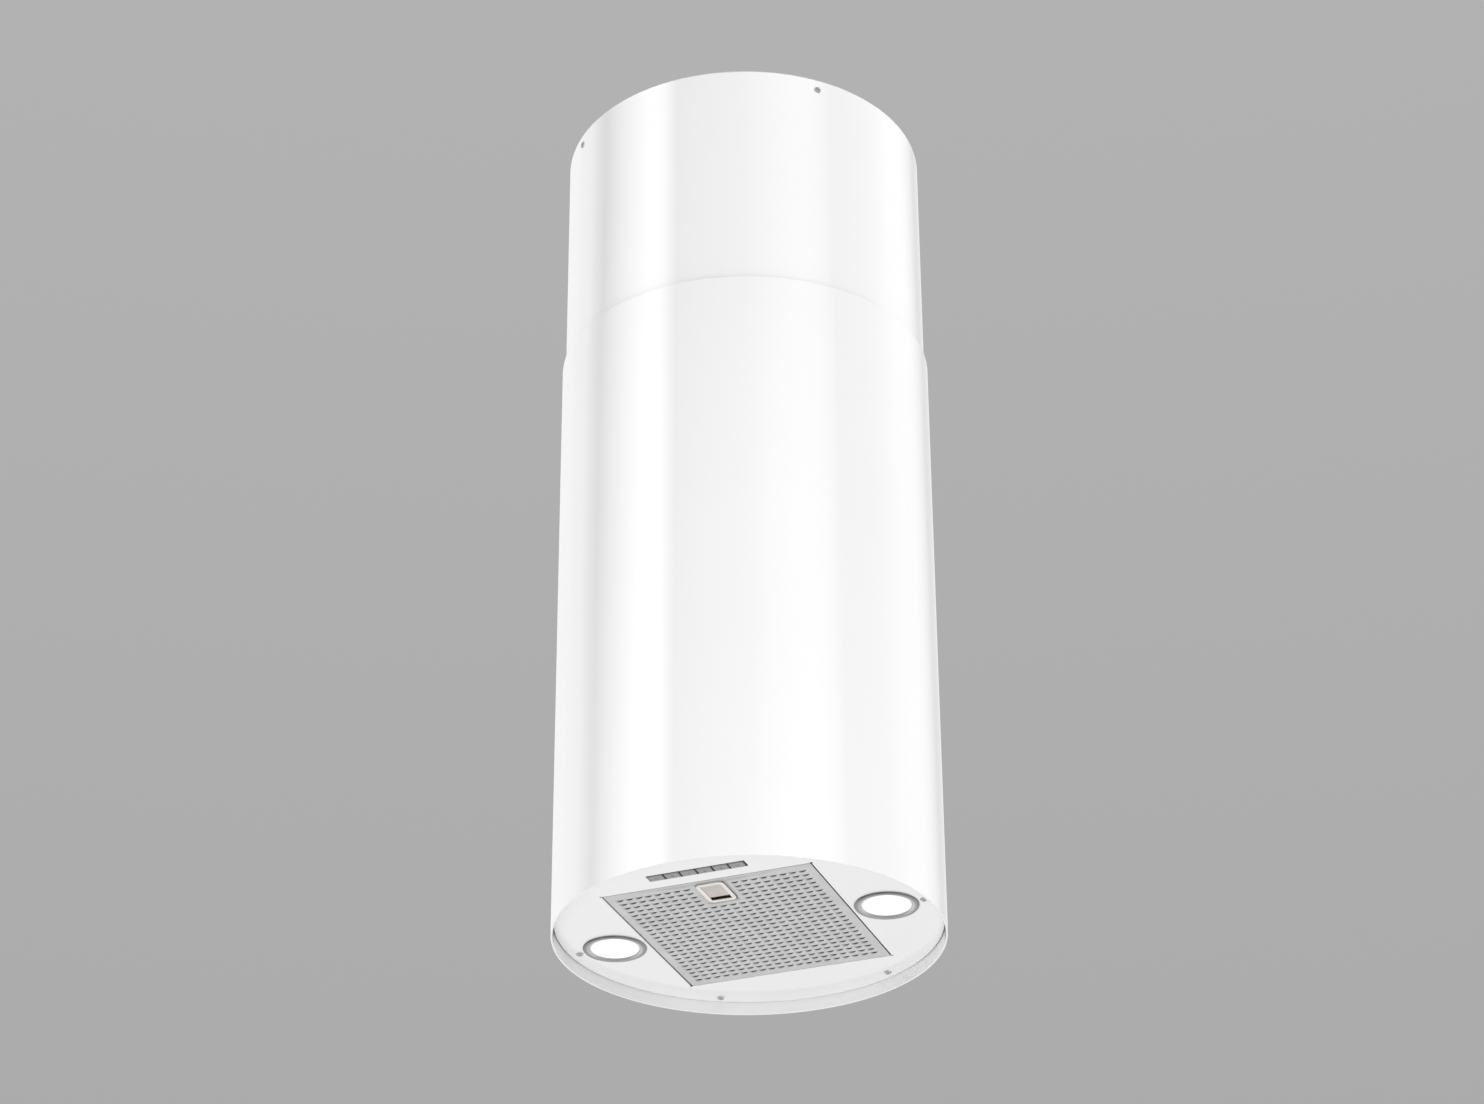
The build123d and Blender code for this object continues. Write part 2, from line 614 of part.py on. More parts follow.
def blade(angle):
    """One forward-curved blade, its camber a circular arc from the inner to the outer rim."""
    inner_r, outer_r = IMPELLER_R - BLADE_DEPTH, IMPELLER_R
    camber = [(inner_r, 0), ((inner_r + outer_r) / 2, BLADE_MID_LEAN), (outer_r, BLADE_LEAN)]
    sides = []
    for way in (1, -1):
        points = []
        for radius, lean in camber:
            turn = radians(angle + lean) + way * BLADE_THICKNESS / 2 / radius
            points.append((radius * cos(turn), radius * sin(turn)))
        sides.append(ThreePointArc(*points))
    ends = [Line(sides[0] @ t, sides[1] @ t) for t in (0, 1)]
    return make_face([edge for line in (*sides, *ends) for edge in line.edges()])


def impeller():
    """Double-inlet wheel: hub, middle web, blades and two end rings."""
    half = IMPELLER_WIDTH / 2
    rim = Circle(IMPELLER_R) - Circle(IMPELLER_R - IMPELLER_RING)
    body = along_x(Circle(IMPELLER_R), -IMPELLER_SHEET / 2, IMPELLER_SHEET / 2)
    body += along_x(Circle(HUB_R), *both(HUB_LENGTH / 2))
    blades = [along_x(blade(n * 360 / BLADE_COUNT), *both(half)) for n in range(BLADE_COUNT)]
    rings = [along_x(rim, half - IMPELLER_SHEET, half), along_x(rim, -half, IMPELLER_SHEET - half)]
    body += blades + rings
    return body - along_x(Circle(SHAFT_R + SHAFT_FIT / 2), *both(HUB_LENGTH / 2))


def motor_shaft():
    """Shaft that carries the impeller and runs in the motor."""
    return along_x(Circle(SHAFT_R), -HUB_LENGTH / 2, MOTOR_X + MOTOR_LENGTH / 2)


def motor():
    """Closed motor with a stepped front shield and a blind bearing bore."""
    back = MOTOR_X + MOTOR_LENGTH
    body = along_x(Circle(MOTOR_R), MOTOR_X + MOTOR_STEP, back)
    body += along_x(Circle(MOTOR_SHIELD_R), MOTOR_X, MOTOR_X + MOTOR_STEP)
    bore = MOTOR_LENGTH / 2 + MOTOR_STEP
    return body - along_x(Circle(SHAFT_R + SHAFT_FIT), MOTOR_X, MOTOR_X + bore)


def motor_spider():
    """Three-armed bracket that hangs the motor in the right inlet."""
    seat = SCROLL_HALF + SCROLL_WALL
    back = MOTOR_X + MOTOR_LENGTH
    reach = INLET_R + SPIDER_ARM
    body = along_x(Circle(MOTOR_R), back, back + SPIDER_SHEET)
    ring = along_x(Circle(reach) - Circle(INLET_R + SCROLL_WALL), seat, seat + SPIDER_SHEET)
    parts = [ring]
    for turn in SPIDER_TURNS:
        arm = Rot(0, 0, turn) * Pos((reach + HUB_R) / 2, 0) * Rectangle(reach - HUB_R, SPIDER_ARM)
        parts.append(along_x(arm, back, back + SPIDER_SHEET))
        foot = Rot(0, 0, turn) * Pos(reach - SPIDER_ARM / 4, 0) * Rectangle(SPIDER_ARM / 2, SPIDER_ARM)
        parts.append(along_x(foot, seat, back + SPIDER_SHEET))
    return body + parts


def duct_collar():
    """Round outlet for the duct, with a base flange and a ledge under the flaps."""
    body = tube(COLLAR_R, COLLAR_INNER_R, BOX_TOP, BOX_TOP + COLLAR_HEIGHT)
    body += tube(COLLAR_R + COLLAR_FLANGE, COLLAR_INNER_R, BOX_TOP, BOX_TOP + COLLAR_WALL)
    ledge_top = DAMPER_Z - FLAP_THICKNESS / 2 - FLAP_SEAT_GAP
    body += tube(COLLAR_R, COLLAR_INNER_R - LEDGE, ledge_top - FLAP_THICKNESS, ledge_top)
    return body - damper_rod(DAMPER_FIT / 2)


def damper_rod(clearance):
    """The pin across the collar, or the hole that holds its ends."""
    half = COLLAR_INNER_R + COLLAR_WALL / 2 + clearance
    return rod((-half, 0, DAMPER_Z), (1, 0, 0), DAMPER_PIN_R + clearance, 2 * half)


def damper_flap(side):
    """One half-round flap with two of the four knuckles on the pin."""
    edge = KNUCKLE_R + FLAP_GAP
    far = 2 * COLLAR_R
    disc = Circle(COLLAR_INNER_R - FLAP_GAP)
    y_middle = side * (edge + far / 2)
    plate = disc & Pos(0, y_middle) * Rectangle(2 * far, far)
    low = DAMPER_Z - FLAP_THICKNESS / 2
    body = Pos(0, 0, low) * extrude(plate, FLAP_THICKNESS)
    span = 2 * (COLLAR_INNER_R - LEDGE - FLAP_GAP)
    pitch = span / KNUCKLE_COUNT
    first = 0 if side < 0 else 1
    for n in range(first, KNUCKLE_COUNT, 2):
        start = -span / 2 + n * pitch + KNUCKLE_SPACE / 2
        x_range = (start, start + pitch - KNUCKLE_SPACE)
        y_range = sorted((0, side * (edge + KNUCKLE_R)))
        body += block(x_range, y_range, (low, low + FLAP_THICKNESS))
        body += rod((start, 0, DAMPER_Z), (1, 0, 0), KNUCKLE_R, pitch - KNUCKLE_SPACE)
    return body - rod((-far, 0, DAMPER_Z), (1, 0, 0), DAMPER_PIN_R + DAMPER_FIT, 2 * far)


def control_box():
    """Tray on the blower box's right side for the electronics, open outwards."""
    half = CONTROL_WIDTH / 2
    wall = CONTROL_WALL
    far_x = CONTROL_X + CONTROL_DEPTH
    body = block((CONTROL_X, far_x), both(half), (CONTROL_Z, CONTROL_TOP))
    body -= block((CONTROL_X + wall, far_x), both(half - wall), (CONTROL_Z + wall, CONTROL_TOP - wall))
    hole = GLAND_THREAD_R + BOLT_CLEARANCE
    return body - rod((CONTROL_X + CONTROL_DEPTH / 2, GLAND_Y, CONTROL_TOP - wall), UP, hole, wall)


def control_lid():
    """Cover that closes the tray, with a lip inside its walls."""
    half = CONTROL_WIDTH / 2
    wall = CONTROL_WALL
    far_x = CONTROL_X + CONTROL_DEPTH
    inset = wall + LID_FIT
    body = block((far_x, far_x + wall), both(half), (CONTROL_Z, CONTROL_TOP))
    lip_x = (far_x - LID_LIP, far_x)
    body += block(lip_x, both(half - inset), (CONTROL_Z + inset, CONTROL_TOP - inset))
    inset += wall
    return body - block(lip_x, both(half - inset), (CONTROL_Z + inset, CONTROL_TOP - inset))


def cable_gland():
    """Screwed gland for the supply cable on the tray's top."""
    x = CONTROL_X + CONTROL_DEPTH / 2
    inside = CONTROL_TOP - CONTROL_WALL
    start = inside - GLAND_NUT
    length = GLAND_NUT + CONTROL_WALL + GLAND_REACH
    body = rod((x, GLAND_Y, start), UP, GLAND_THREAD_R, length)
    body += hexagon((x, GLAND_Y, start), UP, GLAND_HEX, GLAND_NUT)
    body += hexagon((x, GLAND_Y, CONTROL_TOP), UP, GLAND_HEX, GLAND_NUT)
    middle = CONTROL_TOP + GLAND_REACH - GLAND_CAP / 2
    body += Pos(x, GLAND_Y, middle) * Cone(GLAND_HEX / 2, GLAND_THREAD_R, GLAND_CAP)
    return body - rod((x, GLAND_Y, start), UP, GLAND_BORE_R, length)


def capacitor():
    """Motor capacitor, an upright can on the left of the blower box."""
    x = -BOX_WIDTH / 2 - CLIP_WIDTH / 2 - CAPACITOR_R
    low = BOX_Z + CAPACITOR_LIFT
    can = rod((x, 0, low), UP, CAPACITOR_R, CAPACITOR_LENGTH)
    return can + rod((x, 0, low + CAPACITOR_LENGTH), UP, CAPACITOR_R / 3, CLIP_WIDTH / 2)


def capacitor_clip():
    """Strap round the can with a tab on the blower box."""
    x = -BOX_WIDTH / 2 - CLIP_WIDTH / 2 - CAPACITOR_R
    low = BOX_Z + CAPACITOR_LIFT + CAPACITOR_LENGTH / 2
    inner = CAPACITOR_R + CLIP_FIT
    strap = Pos(x, 0, 0) * tube(inner + CLIP_SHEET, inner, low, low + CLIP_WIDTH)
    tab = block((x + inner, -BOX_WIDTH / 2), both(CLIP_WIDTH / 2), (low, low + CLIP_WIDTH))
    tab -= rod((x, 0, low), UP, inner, CLIP_WIDTH)
    return strap + tab


def bottom_panel():
    """Round panel with an upturned skirt and openings for filter, lamps, buttons and screws."""
    wall = PANEL_THICKNESS
    body = turned(
        [
            (0, PANEL_Z),
            (PANEL_R, PANEL_Z),
            (PANEL_R, RING_Z),
            (PANEL_R - wall, RING_Z),
            (PANEL_R - wall, PANEL_TOP),
            (0, PANEL_TOP),
        ]
    )
    open_x, open_y = FILTER_X + FILTER_SIDE_GAP, FILTER_Y + FILTER_END_GAP
    for side in (1, -1):
        x_range = sorted((side * open_x, side * (open_x + wall)))
        body += block(x_range, both(open_y), (PANEL_TOP, PANEL_TOP + FILTER_UPSTAND))
        body -= rod((side * LAMP_X, 0, PANEL_Z), UP, NECK_R + PANEL_HOLE_GAP, wall)
    body -= block(both(open_x), both(open_y), (PANEL_Z, PANEL_TOP))
    slot_x, slot_y = FRAME_X / 2 + PANEL_HOLE_GAP, FRAME_Y / 2 + PANEL_HOLE_GAP
    body -= block(both(slot_x), (BUTTON_Y - slot_y, BUTTON_Y + slot_y), (PANEL_Z, PANEL_TOP))
    for place in panel_screw_places(PANEL_Z):
        body -= rod(place, UP, PANEL_SCREW_R + BOLT_CLEARANCE, wall)
    return body


def panel_screws():
    """Screws up through the panel into the base ring."""
    length = PANEL_SKIRT + 2 * RING_THICKNESS
    return Compound([pan_screw(place, UP, PANEL_SCREW_R, length) for place in panel_screw_places(PANEL_Z)])


def lamp_bezel(side):
    """Turned trim ring with a sloping face and a neck through the panel."""
    inner = LENS_R + LENS_FIT
    outline = [
        (inner, PANEL_Z - BEZEL_HEIGHT / 2),
        (inner + LAMP_NECK_WALL, PANEL_Z - BEZEL_HEIGHT),
        (BEZEL_R - BEZEL_HEIGHT, PANEL_Z - BEZEL_HEIGHT),
        (BEZEL_R, PANEL_Z - BEZEL_HEIGHT / 3),
        (BEZEL_R, PANEL_Z),
        (NECK_R, PANEL_Z),
        (NECK_R, PANEL_Z + LAMP_NECK_HEIGHT),
        (inner, PANEL_Z + LAMP_NECK_HEIGHT),
    ]
    return Pos(side * LAMP_X, 0, 0) * turned(outline)


def lamp_lens(side):
    """Diffusing disc that sits in the bezel."""
    low = PANEL_Z - BEZEL_HEIGHT / 2
    return rod((side * LAMP_X, 0, low), UP, LENS_R, LENS_THICKNESS)


def lamp_body(side):
    """Ribbed can behind the panel with two spring clips that press on the panel."""
    low = PANEL_Z + LAMP_NECK_HEIGHT
    high = low + LAMP_BODY_HEIGHT
    step = LAMP_RIB
    can = [(0, low), (NECK_R, low)]
    for n in range(2):
        rib = low + (2 * n + 1) * step
        can += [(NECK_R, rib), (NECK_R - step, rib), (NECK_R - step, rib + step), (NECK_R, rib + step)]
    can += [(NECK_R, high), (0, high)]
    body = turned(can)
    tip = NECK_R + LAMP_CLIP_REACH
    bend = tip - LAMP_CLIP_REACH / 4
    strip = [(NECK_R - step / 2, high - step), (bend, PANEL_TOP + LAMP_CLIP_GAP), (tip, PANEL_TOP + step)]
    outline = strip + [(y, z + LAMP_CLIP_SHEET) for y, z in reversed(strip)]
    face = Plane.YZ * make_face(Polyline(*outline, close=True))
    clip = Pos(-LAMP_CLIP_WIDTH / 2, 0, 0) * extrude(face, LAMP_CLIP_WIDTH, dir=(1, 0, 0))
    return Pos(side * LAMP_X, 0, 0) * (body + clip + Rot(0, 0, 180) * clip)


def button_x(index):
    """Middle of a button along X, counted from the left."""
    return (index - (BUTTON_COUNT - 1) / 2) * BUTTON_PITCH


def button_frame():
    """Frame in the panel's slot, with a window for each button and a flange above the panel."""
    half_x, half_y = FRAME_X / 2, FRAME_Y / 2
    top = PANEL_TOP + FRAME_DEPTH - PANEL_THICKNESS
    body = block(both(half_x), (BUTTON_Y - half_y, BUTTON_Y + half_y), (PANEL_Z - FRAME_PROUD, top))
    flange_x, flange_y = half_x + FRAME_FLANGE, half_y + FRAME_FLANGE
    body += block(both(flange_x), (BUTTON_Y - flange_y, BUTTON_Y + flange_y), (PANEL_TOP, top))
    for n in range(BUTTON_COUNT):
        x_range = (button_x(n) - WINDOW_X / 2, button_x(n) + WINDOW_X / 2)
        y_range = (BUTTON_Y - WINDOW_Y / 2, BUTTON_Y + WINDOW_Y / 2)
        body -= block(x_range, y_range, (PANEL_Z - FRAME_PROUD, top))
    return body


def switch_housing():
    """Cover over the buttons' switches, open below."""
    half_x, half_y = FRAME_X / 2 + FRAME_FLANGE, FRAME_Y / 2 + FRAME_FLANGE
    low = PANEL_Z + FRAME_DEPTH
    high = low + HOUSING_HEIGHT
    wall = HOUSING_WALL
    body = block(both(half_x), (BUTTON_Y - half_y, BUTTON_Y + half_y), (low, high))
    inner_y = (BUTTON_Y - half_y + wall, BUTTON_Y + half_y - wall)
    return body - block(both(half_x - wall), inner_y, (low, high - wall))


def button(index):
    """One push button: cap, shoulder behind the frame and stem."""
    x = button_x(index)
    half_x, half_y = WINDOW_X / 2 - BUTTON_GAP, BUTTON_DEPTH / 2
    shoulder = PANEL_Z + FRAME_DEPTH + BUTTON_GAP
    cap_x, cap_y = (x - half_x, x + half_x), (BUTTON_Y - half_y, BUTTON_Y + half_y)
    cap = block(cap_x, cap_y, (PANEL_Z - BUTTON_PROUD, shoulder))
    cap = chamfer(cap.faces().sort_by(Axis.Z)[0].edges(), BUTTON_PROUD / 2)
    wide_x = half_x + BUTTON_GAP + BUTTON_RIB / 2 - BUTTON_GAP / 2
    wide_y = half_y + BUTTON_SHOULDER
    top = shoulder + BUTTON_TRAVEL
    cap += block((x - wide_x, x + wide_x), (BUTTON_Y - wide_y, BUTTON_Y + wide_y), (shoulder, top))
    stem = half_y / 2
    stem_z = (top, top + BUTTON_TRAVEL)
    return cap + block((x - stem, x + stem), (BUTTON_Y - stem, BUTTON_Y + stem), stem_z)


def latch_cup():
    """Cup of the finger latch: a rim below the face and a pocket that opens downwards."""
    half = POCKET_WIDTH / 2
    wall = LATCH_WALL
    y_range = (POCKET_FRONT, POCKET_REAR)
    top = PANEL_Z + POCKET_DEPTH
    rim_y = (POCKET_FRONT - LATCH_RIM, POCKET_REAR + LATCH_RIM)
    body = block(both(half + LATCH_RIM), rim_y, (PANEL_Z - LATCH_PLATE, PANEL_Z))
    outer_y = (POCKET_FRONT - wall, POCKET_REAR + wall)
    body += block(both(half + wall), outer_y, (PANEL_Z, top + wall))
    body -= block(both(half), y_range, (PANEL_Z - LATCH_PLATE, top))
    return body - tongue_slot((POCKET_FRONT - wall, POCKET_FRONT))


def tongue_slot(y_range):
    """Room for the latch tongue through a wall."""
    half = TONGUE_WIDTH / 2 + LATCH_FIT
    return block(both(half), y_range, (TONGUE_Z - LATCH_FIT, TONGUE_Z + TONGUE_THICKNESS + LATCH_FIT))


def latch_slider():
    """Slider with a dished finger face and a tongue over the panel's edge."""
    half = POCKET_WIDTH / 2 - LATCH_FIT
    front = POCKET_FRONT + LATCH_FIT
    top = PANEL_Z + POCKET_DEPTH - LATCH_FIT
    low = PANEL_Z - LATCH_PLATE / 2
    body = block(both(half), (front, front + SLIDER_LENGTH), (low, top))
    dish_z = low + SLIDER_DISH_DEPTH - SLIDER_DISH_R
    body -= rod((-half, front + SLIDER_LENGTH / 2, dish_z), (1, 0, 0), SLIDER_DISH_R, 2 * half)
    tip = -FILTER_Y - FILTER_END_GAP - TONGUE_REACH
    tongue_z = (TONGUE_Z, TONGUE_Z + TONGUE_THICKNESS)
    return body + block(both(TONGUE_WIDTH / 2), (tip, front + LATCH_RIM), tongue_z)


def latch_spring():
    """Bent leaf between the slider and the cup's rear wall."""
    half = POCKET_WIDTH / 2 - 3 * LATCH_FIT
    near = POCKET_FRONT + LATCH_FIT + SLIDER_LENGTH + LATCH_FIT
    far = POCKET_REAR - LATCH_FIT
    leaf = [(-half, far - SPRING_LEAF), (0, near), (half, far - SPRING_LEAF)]
    outline = leaf + [(x, y + SPRING_LEAF) for x, y in reversed(leaf)]
    low = PANEL_Z + (POCKET_DEPTH - SPRING_WIDTH) / 2
    return Pos(0, 0, low) * extrude(make_face(Polyline(*outline, close=True)), SPRING_WIDTH, dir=UP)


def louvre_places():
    """Middles of the pressed louvres, leaving the flat round the latch bare."""
    places = []
    for row in range(LOUVRE_ROWS):
        y = (row + 0.5) * LOUVRE_PITCH_Y - FIELD_Y
        for column in range(LOUVRE_COLUMNS):
            x = (column + 0.5) * LOUVRE_PITCH_X - FIELD_X
            if abs(x) > FLAT_X or y > FLAT_Y:
                places.append((x, y))
    return places


def loop(*points):
    """A closed wire through points."""
    return Wire.make_polygon([Vector(p) for p in points], close=True)


def louvre_faces(x, y):
    """A louvre pressed inwards: a tab that slopes up to the rear, two cheeks and the upright mouth."""
    half, deep = LOUVRE_WIDTH / 2, LOUVRE_DEPTH / 2
    crown, high = LOUVRE_CROWN * half, PANEL_Z + LOUVRE_HEIGHT
    near_left, near_right = (x - half, y - deep, PANEL_Z), (x + half, y - deep, PANEL_Z)
    far_left, far_right = (x - half, y + deep, PANEL_Z), (x + half, y + deep, PANEL_Z)
    lip_left, lip_right = (x - crown, y + deep, high), (x + crown, y + deep, high)
    corners = [
        (near_left, near_right, lip_right, lip_left),
        (near_right, far_right, lip_right),
        (far_left, near_left, lip_left),
        (far_right, far_left, lip_left, lip_right),
    ]
    return [Face(loop(*points)) for points in corners]


def upright_faces(corners, low, high):
    """Upright faces round a closed plan outline."""
    faces = []
    for (ax, ay), (bx, by) in zip(corners, corners[1:] + corners[:1]):
        faces.append(Face(loop((ax, ay, low), (bx, by, low), (bx, by, high), (ax, ay, high))))
    return faces


def level_loop(corners, z):
    """A closed plan outline as a wire at one height."""
    return loop(*[(x, y, z) for x, y in corners])


def rectangle(x_range, y_range):
    """The corners of a plan rectangle."""
    (x0, x1), (y0, y1) = x_range, y_range
    return [(x0, y0), (x1, y0), (x1, y1), (x0, y1)]


def filter_face():
    """Front sheet of the filter: a field of louvres pressed inwards, a flat border and the latch cut-out."""
    edge = rectangle(both(FILTER_X), both(FILTER_Y))
    wall = LATCH_WALL + LATCH_FIT
    hole = rectangle(both(POCKET_WIDTH / 2 + wall), (POCKET_FRONT - wall, POCKET_REAR + wall))
    field = [(-FIELD_X, -FIELD_Y), (-FLAT_X, -FIELD_Y), (-FLAT_X, FLAT_Y), (FLAT_X, FLAT_Y)]
    field += [(FLAT_X, -FIELD_Y), (FIELD_X, -FIELD_Y), (FIELD_X, FIELD_Y), (-FIELD_X, FIELD_Y)]
    places = louvre_places()
    half, deep = LOUVRE_WIDTH / 2, LOUVRE_DEPTH / 2
    roots = [rectangle((x - half, x + half), (y - deep, y + deep)) for x, y in places]
    faces = [
        Face(level_loop(edge, PANEL_Z), [level_loop(root, PANEL_Z) for root in roots + [hole]]),
        Face(level_loop(edge, FACE_TOP), [level_loop(field, FACE_TOP), level_loop(hole, FACE_TOP)]),
        Face(level_loop(field, FIELD_TOP)),
    ]
    faces += upright_faces(edge, PANEL_Z, FACE_TOP) + upright_faces(hole, PANEL_Z, FACE_TOP)
    faces += upright_faces(field, FACE_TOP, FIELD_TOP)
    for x, y in places:
        faces += louvre_faces(x, y)
    return Solid(Shell(faces))


def filter_frame():
    """Folded frame on the sheet: four walls, a top lip, the tongue's slot and two rear tabs."""
    wall = FILTER_SHEET
    body = block(both(FILTER_X), both(FILTER_Y), (FACE_TOP, FILTER_TOP))
    body -= block(both(FILTER_X - wall), both(FILTER_Y - wall), (FACE_TOP, FILTER_TOP - wall))
    lip_x, lip_y = FILTER_X - FILTER_LIP, FILTER_Y - FILTER_LIP
    body -= block(both(lip_x), both(lip_y), (FILTER_TOP - wall, FILTER_TOP))
    body -= tongue_slot((-FILTER_Y, wall - FILTER_Y))
    for side in (1, -1):
        x_range = (side * TAB_X - TAB_WIDTH / 2, side * TAB_X + TAB_WIDTH / 2)
        y_range = (FILTER_Y - wall, FILTER_Y + TAB_REACH)
        body += block(x_range, y_range, (TONGUE_Z, TONGUE_Z + TONGUE_THICKNESS))
    return body


def filter_core():
    """Pleated mesh pack between the front and back sheets."""
    gap = FILTER_FIT
    low, high = FIELD_TOP + gap, FILTER_TOP - 2 * FILTER_SHEET - gap
    half = FILTER_Y - FILTER_SHEET - gap
    pitch = 2 * half / PLEAT_COUNT
    top = high - FILTER_SHEET
    ridge = [(-half + n * pitch / 2, top if n % 2 else low) for n in range(2 * PLEAT_COUNT + 1)]
    outline = ridge + [(y, z + FILTER_SHEET) for y, z in reversed(ridge)]
    face = Plane.YZ * make_face(Polyline(*outline, close=True))
    x_half = FILTER_X - FILTER_SHEET - gap
    body = Pos(-x_half, 0, 0) * extrude(face, 2 * x_half, dir=(1, 0, 0))
    notch_x = both(POCKET_WIDTH / 2 + LATCH_WALL + gap)
    return body - block(notch_x, (-FILTER_Y, POCKET_REAR + LATCH_WALL + gap), (FACE_TOP, FILTER_TOP))


def filter_back():
    """Back sheet under the frame's lip, opened by windows between bars."""
    gap = FILTER_FIT
    x_half, y_half = FILTER_X - FILTER_SHEET - gap, FILTER_Y - FILTER_SHEET - gap
    top = FILTER_TOP - FILTER_SHEET
    z_range = (top - FILTER_SHEET, top)
    body = block(both(x_half), both(y_half), z_range)
    open_x, open_y = 2 * (FILTER_X - FILTER_LIP), 2 * (FILTER_Y - FILTER_LIP)
    pitch_x, pitch_y = open_x / BACK_BARS, open_y / BACK_BARS
    window = Rectangle(pitch_x - BACK_BAR_WIDTH, pitch_y - BACK_BAR_WIDTH)
    grid = GridLocations(pitch_x, pitch_y, BACK_BARS, BACK_BARS) * window
    return body - Pos(0, 0, z_range[0]) * extrude(Sketch() + grid, FILTER_SHEET)


def nodes():
    """Every named piece of the hood."""
    pieces = {
        "ceiling_plate": ceiling_plate(),
        "rail_foot_bolts": rail_foot_bolts(),
        "upper_sleeve": upper_sleeve(),
        "sleeve_screws": sleeve_screws(),
        "lower_casing": lower_casing(),
        "sleeve_guides": sleeve_guides(),
        "base_ring": base_ring(),
        "blower_box": blower_box(),
        "blower_box_bolts": blower_box_bolts(),
        "casing_braces": casing_braces(),
        "scroll_left": scroll_half(-1),
        "scroll_right": scroll_half(1),
        "impeller": impeller(),
        "motor_shaft": motor_shaft(),
        "motor": motor(),
        "motor_spider": motor_spider(),
        "duct_collar": duct_collar(),
        "damper_pin": damper_rod(0),
        "damper_flap_front": damper_flap(-1),
        "damper_flap_rear": damper_flap(1),
        "control_box": control_box(),
        "control_lid": control_lid(),
        "cable_gland": cable_gland(),
        "capacitor": capacitor(),
        "capacitor_clip": capacitor_clip(),
        "bottom_panel": bottom_panel(),
        "panel_screws": panel_screws(),
        "button_frame": button_frame(),
        "switch_housing": switch_housing(),
        "latch_cup": latch_cup(),
        "latch_slider": latch_slider(),
        "latch_spring": latch_spring(),
        "filter_face": filter_face(),
        "filter_frame": filter_frame(),
        "filter_core": filter_core(),
        "filter_back": filter_back(),
    }
    for n, sides in enumerate(CORNERS, start=1):
        pieces[f"upper_rail_{n}"] = upper_rail(*sides)
        pieces[f"lower_rail_{n}"] = lower_rail(*sides)
    clamp_grip = 2 * RAIL_THICKNESS + 2 * RAIL_GAP
    pieces["rail_clamp_bolts"] = rail_bolts(CLAMP_BOLT_Z, UPPER_CORNER[0] + RAIL_GAP, clamp_grip)
    pieces["rail_fixing_bolts"] = rail_bolts(FIXING_BOLT_Z, LOWER_CORNER[0], RAIL_THICKNESS + BOX_WALL)
    for name, side in (("left", -1), ("right", 1)):
        pieces[f"lamp_{name}_bezel"] = lamp_bezel(side)
        pieces[f"lamp_{name}_lens"] = lamp_lens(side)
        pieces[f"lamp_{name}_body"] = lamp_body(side)
    for n in range(BUTTON_COUNT):
        pieces[f"button_{n + 1}"] = button(n)
    return pieces


os.makedirs("parts", exist_ok=True)
for node, shape in nodes().items():
    export_step(shape, f"parts/{node}.step")
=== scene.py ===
# %% [markdown]
# # A white tube hood for over a cooking island
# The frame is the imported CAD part. It holds every size in metres, with z = 0 at the ceiling and the
# front towards -Y, and each node keeps its place in its own mesh. This file dresses it. The shells that
# show are computed again as smooth surfaces, every piece gets a finish, and a camera and lights are set
# up round it.

import json

import bmesh
import bpy
import numpy as np
from mathutils import Matrix, Vector
from mathutils.geometry import delaunay_2d_cdt


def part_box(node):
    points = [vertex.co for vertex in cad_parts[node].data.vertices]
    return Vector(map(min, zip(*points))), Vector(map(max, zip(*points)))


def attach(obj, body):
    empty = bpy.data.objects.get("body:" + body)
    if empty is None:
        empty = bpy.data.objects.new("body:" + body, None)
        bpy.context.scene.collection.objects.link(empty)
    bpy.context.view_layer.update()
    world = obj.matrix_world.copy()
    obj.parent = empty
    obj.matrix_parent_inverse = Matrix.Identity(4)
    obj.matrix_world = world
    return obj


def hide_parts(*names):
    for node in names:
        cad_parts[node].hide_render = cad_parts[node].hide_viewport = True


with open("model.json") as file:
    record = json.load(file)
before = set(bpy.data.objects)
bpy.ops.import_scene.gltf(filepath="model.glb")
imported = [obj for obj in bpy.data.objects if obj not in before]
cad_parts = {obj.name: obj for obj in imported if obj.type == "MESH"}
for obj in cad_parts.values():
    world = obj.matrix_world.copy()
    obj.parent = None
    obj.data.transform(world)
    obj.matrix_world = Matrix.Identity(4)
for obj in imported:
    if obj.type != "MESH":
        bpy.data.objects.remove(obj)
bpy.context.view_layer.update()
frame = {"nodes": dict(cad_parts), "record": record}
slots = {part["node"]: part["material_slot"] for part in frame["record"]["subparts"]}

# %% [markdown]
# ## One way to make most of a hood
# A hood is bent and turned sheet: a tube, a flat panel with a turned-up edge, round lamp rings, keys
# with soft edges. All of these are a profile carried round a plan outline. In Blender each one could be
# spun or extruded by hand. Here one formula makes them all, so every size stays tied to the frame and a
# change in the CAD part carries through. First come the plans: a circle, or a rectangle with round
# corners.

# %% Plans
MM = 0.001


def span(node):
    """Lowest and highest corner of a CAD node as two arrays."""
    low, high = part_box(node)
    return np.array(low), np.array(high)


def round_plan(half_x, half_y, radius, steps):
    """Closed outline with round corners, as points and outward normals.

    A corner is a quarter circle about its own centre: point = centre + radius * (cos, sin), and (cos,
    sin) is the normal. Halves equal to the radius give a circle.
    """
    turn = np.linspace(0, np.pi / 2, steps + 1)
    turns = (np.arange(4)[:, None] * np.pi / 2 + turn).ravel()
    normals = np.stack([np.cos(turns), np.sin(turns)], axis=1)
    signs = np.array([(1, 1), (-1, 1), (-1, -1), (1, -1)])
    centres = np.repeat(signs * (half_x - radius, half_y - radius), steps + 1, axis=0)
    return centres + radius * normals, normals


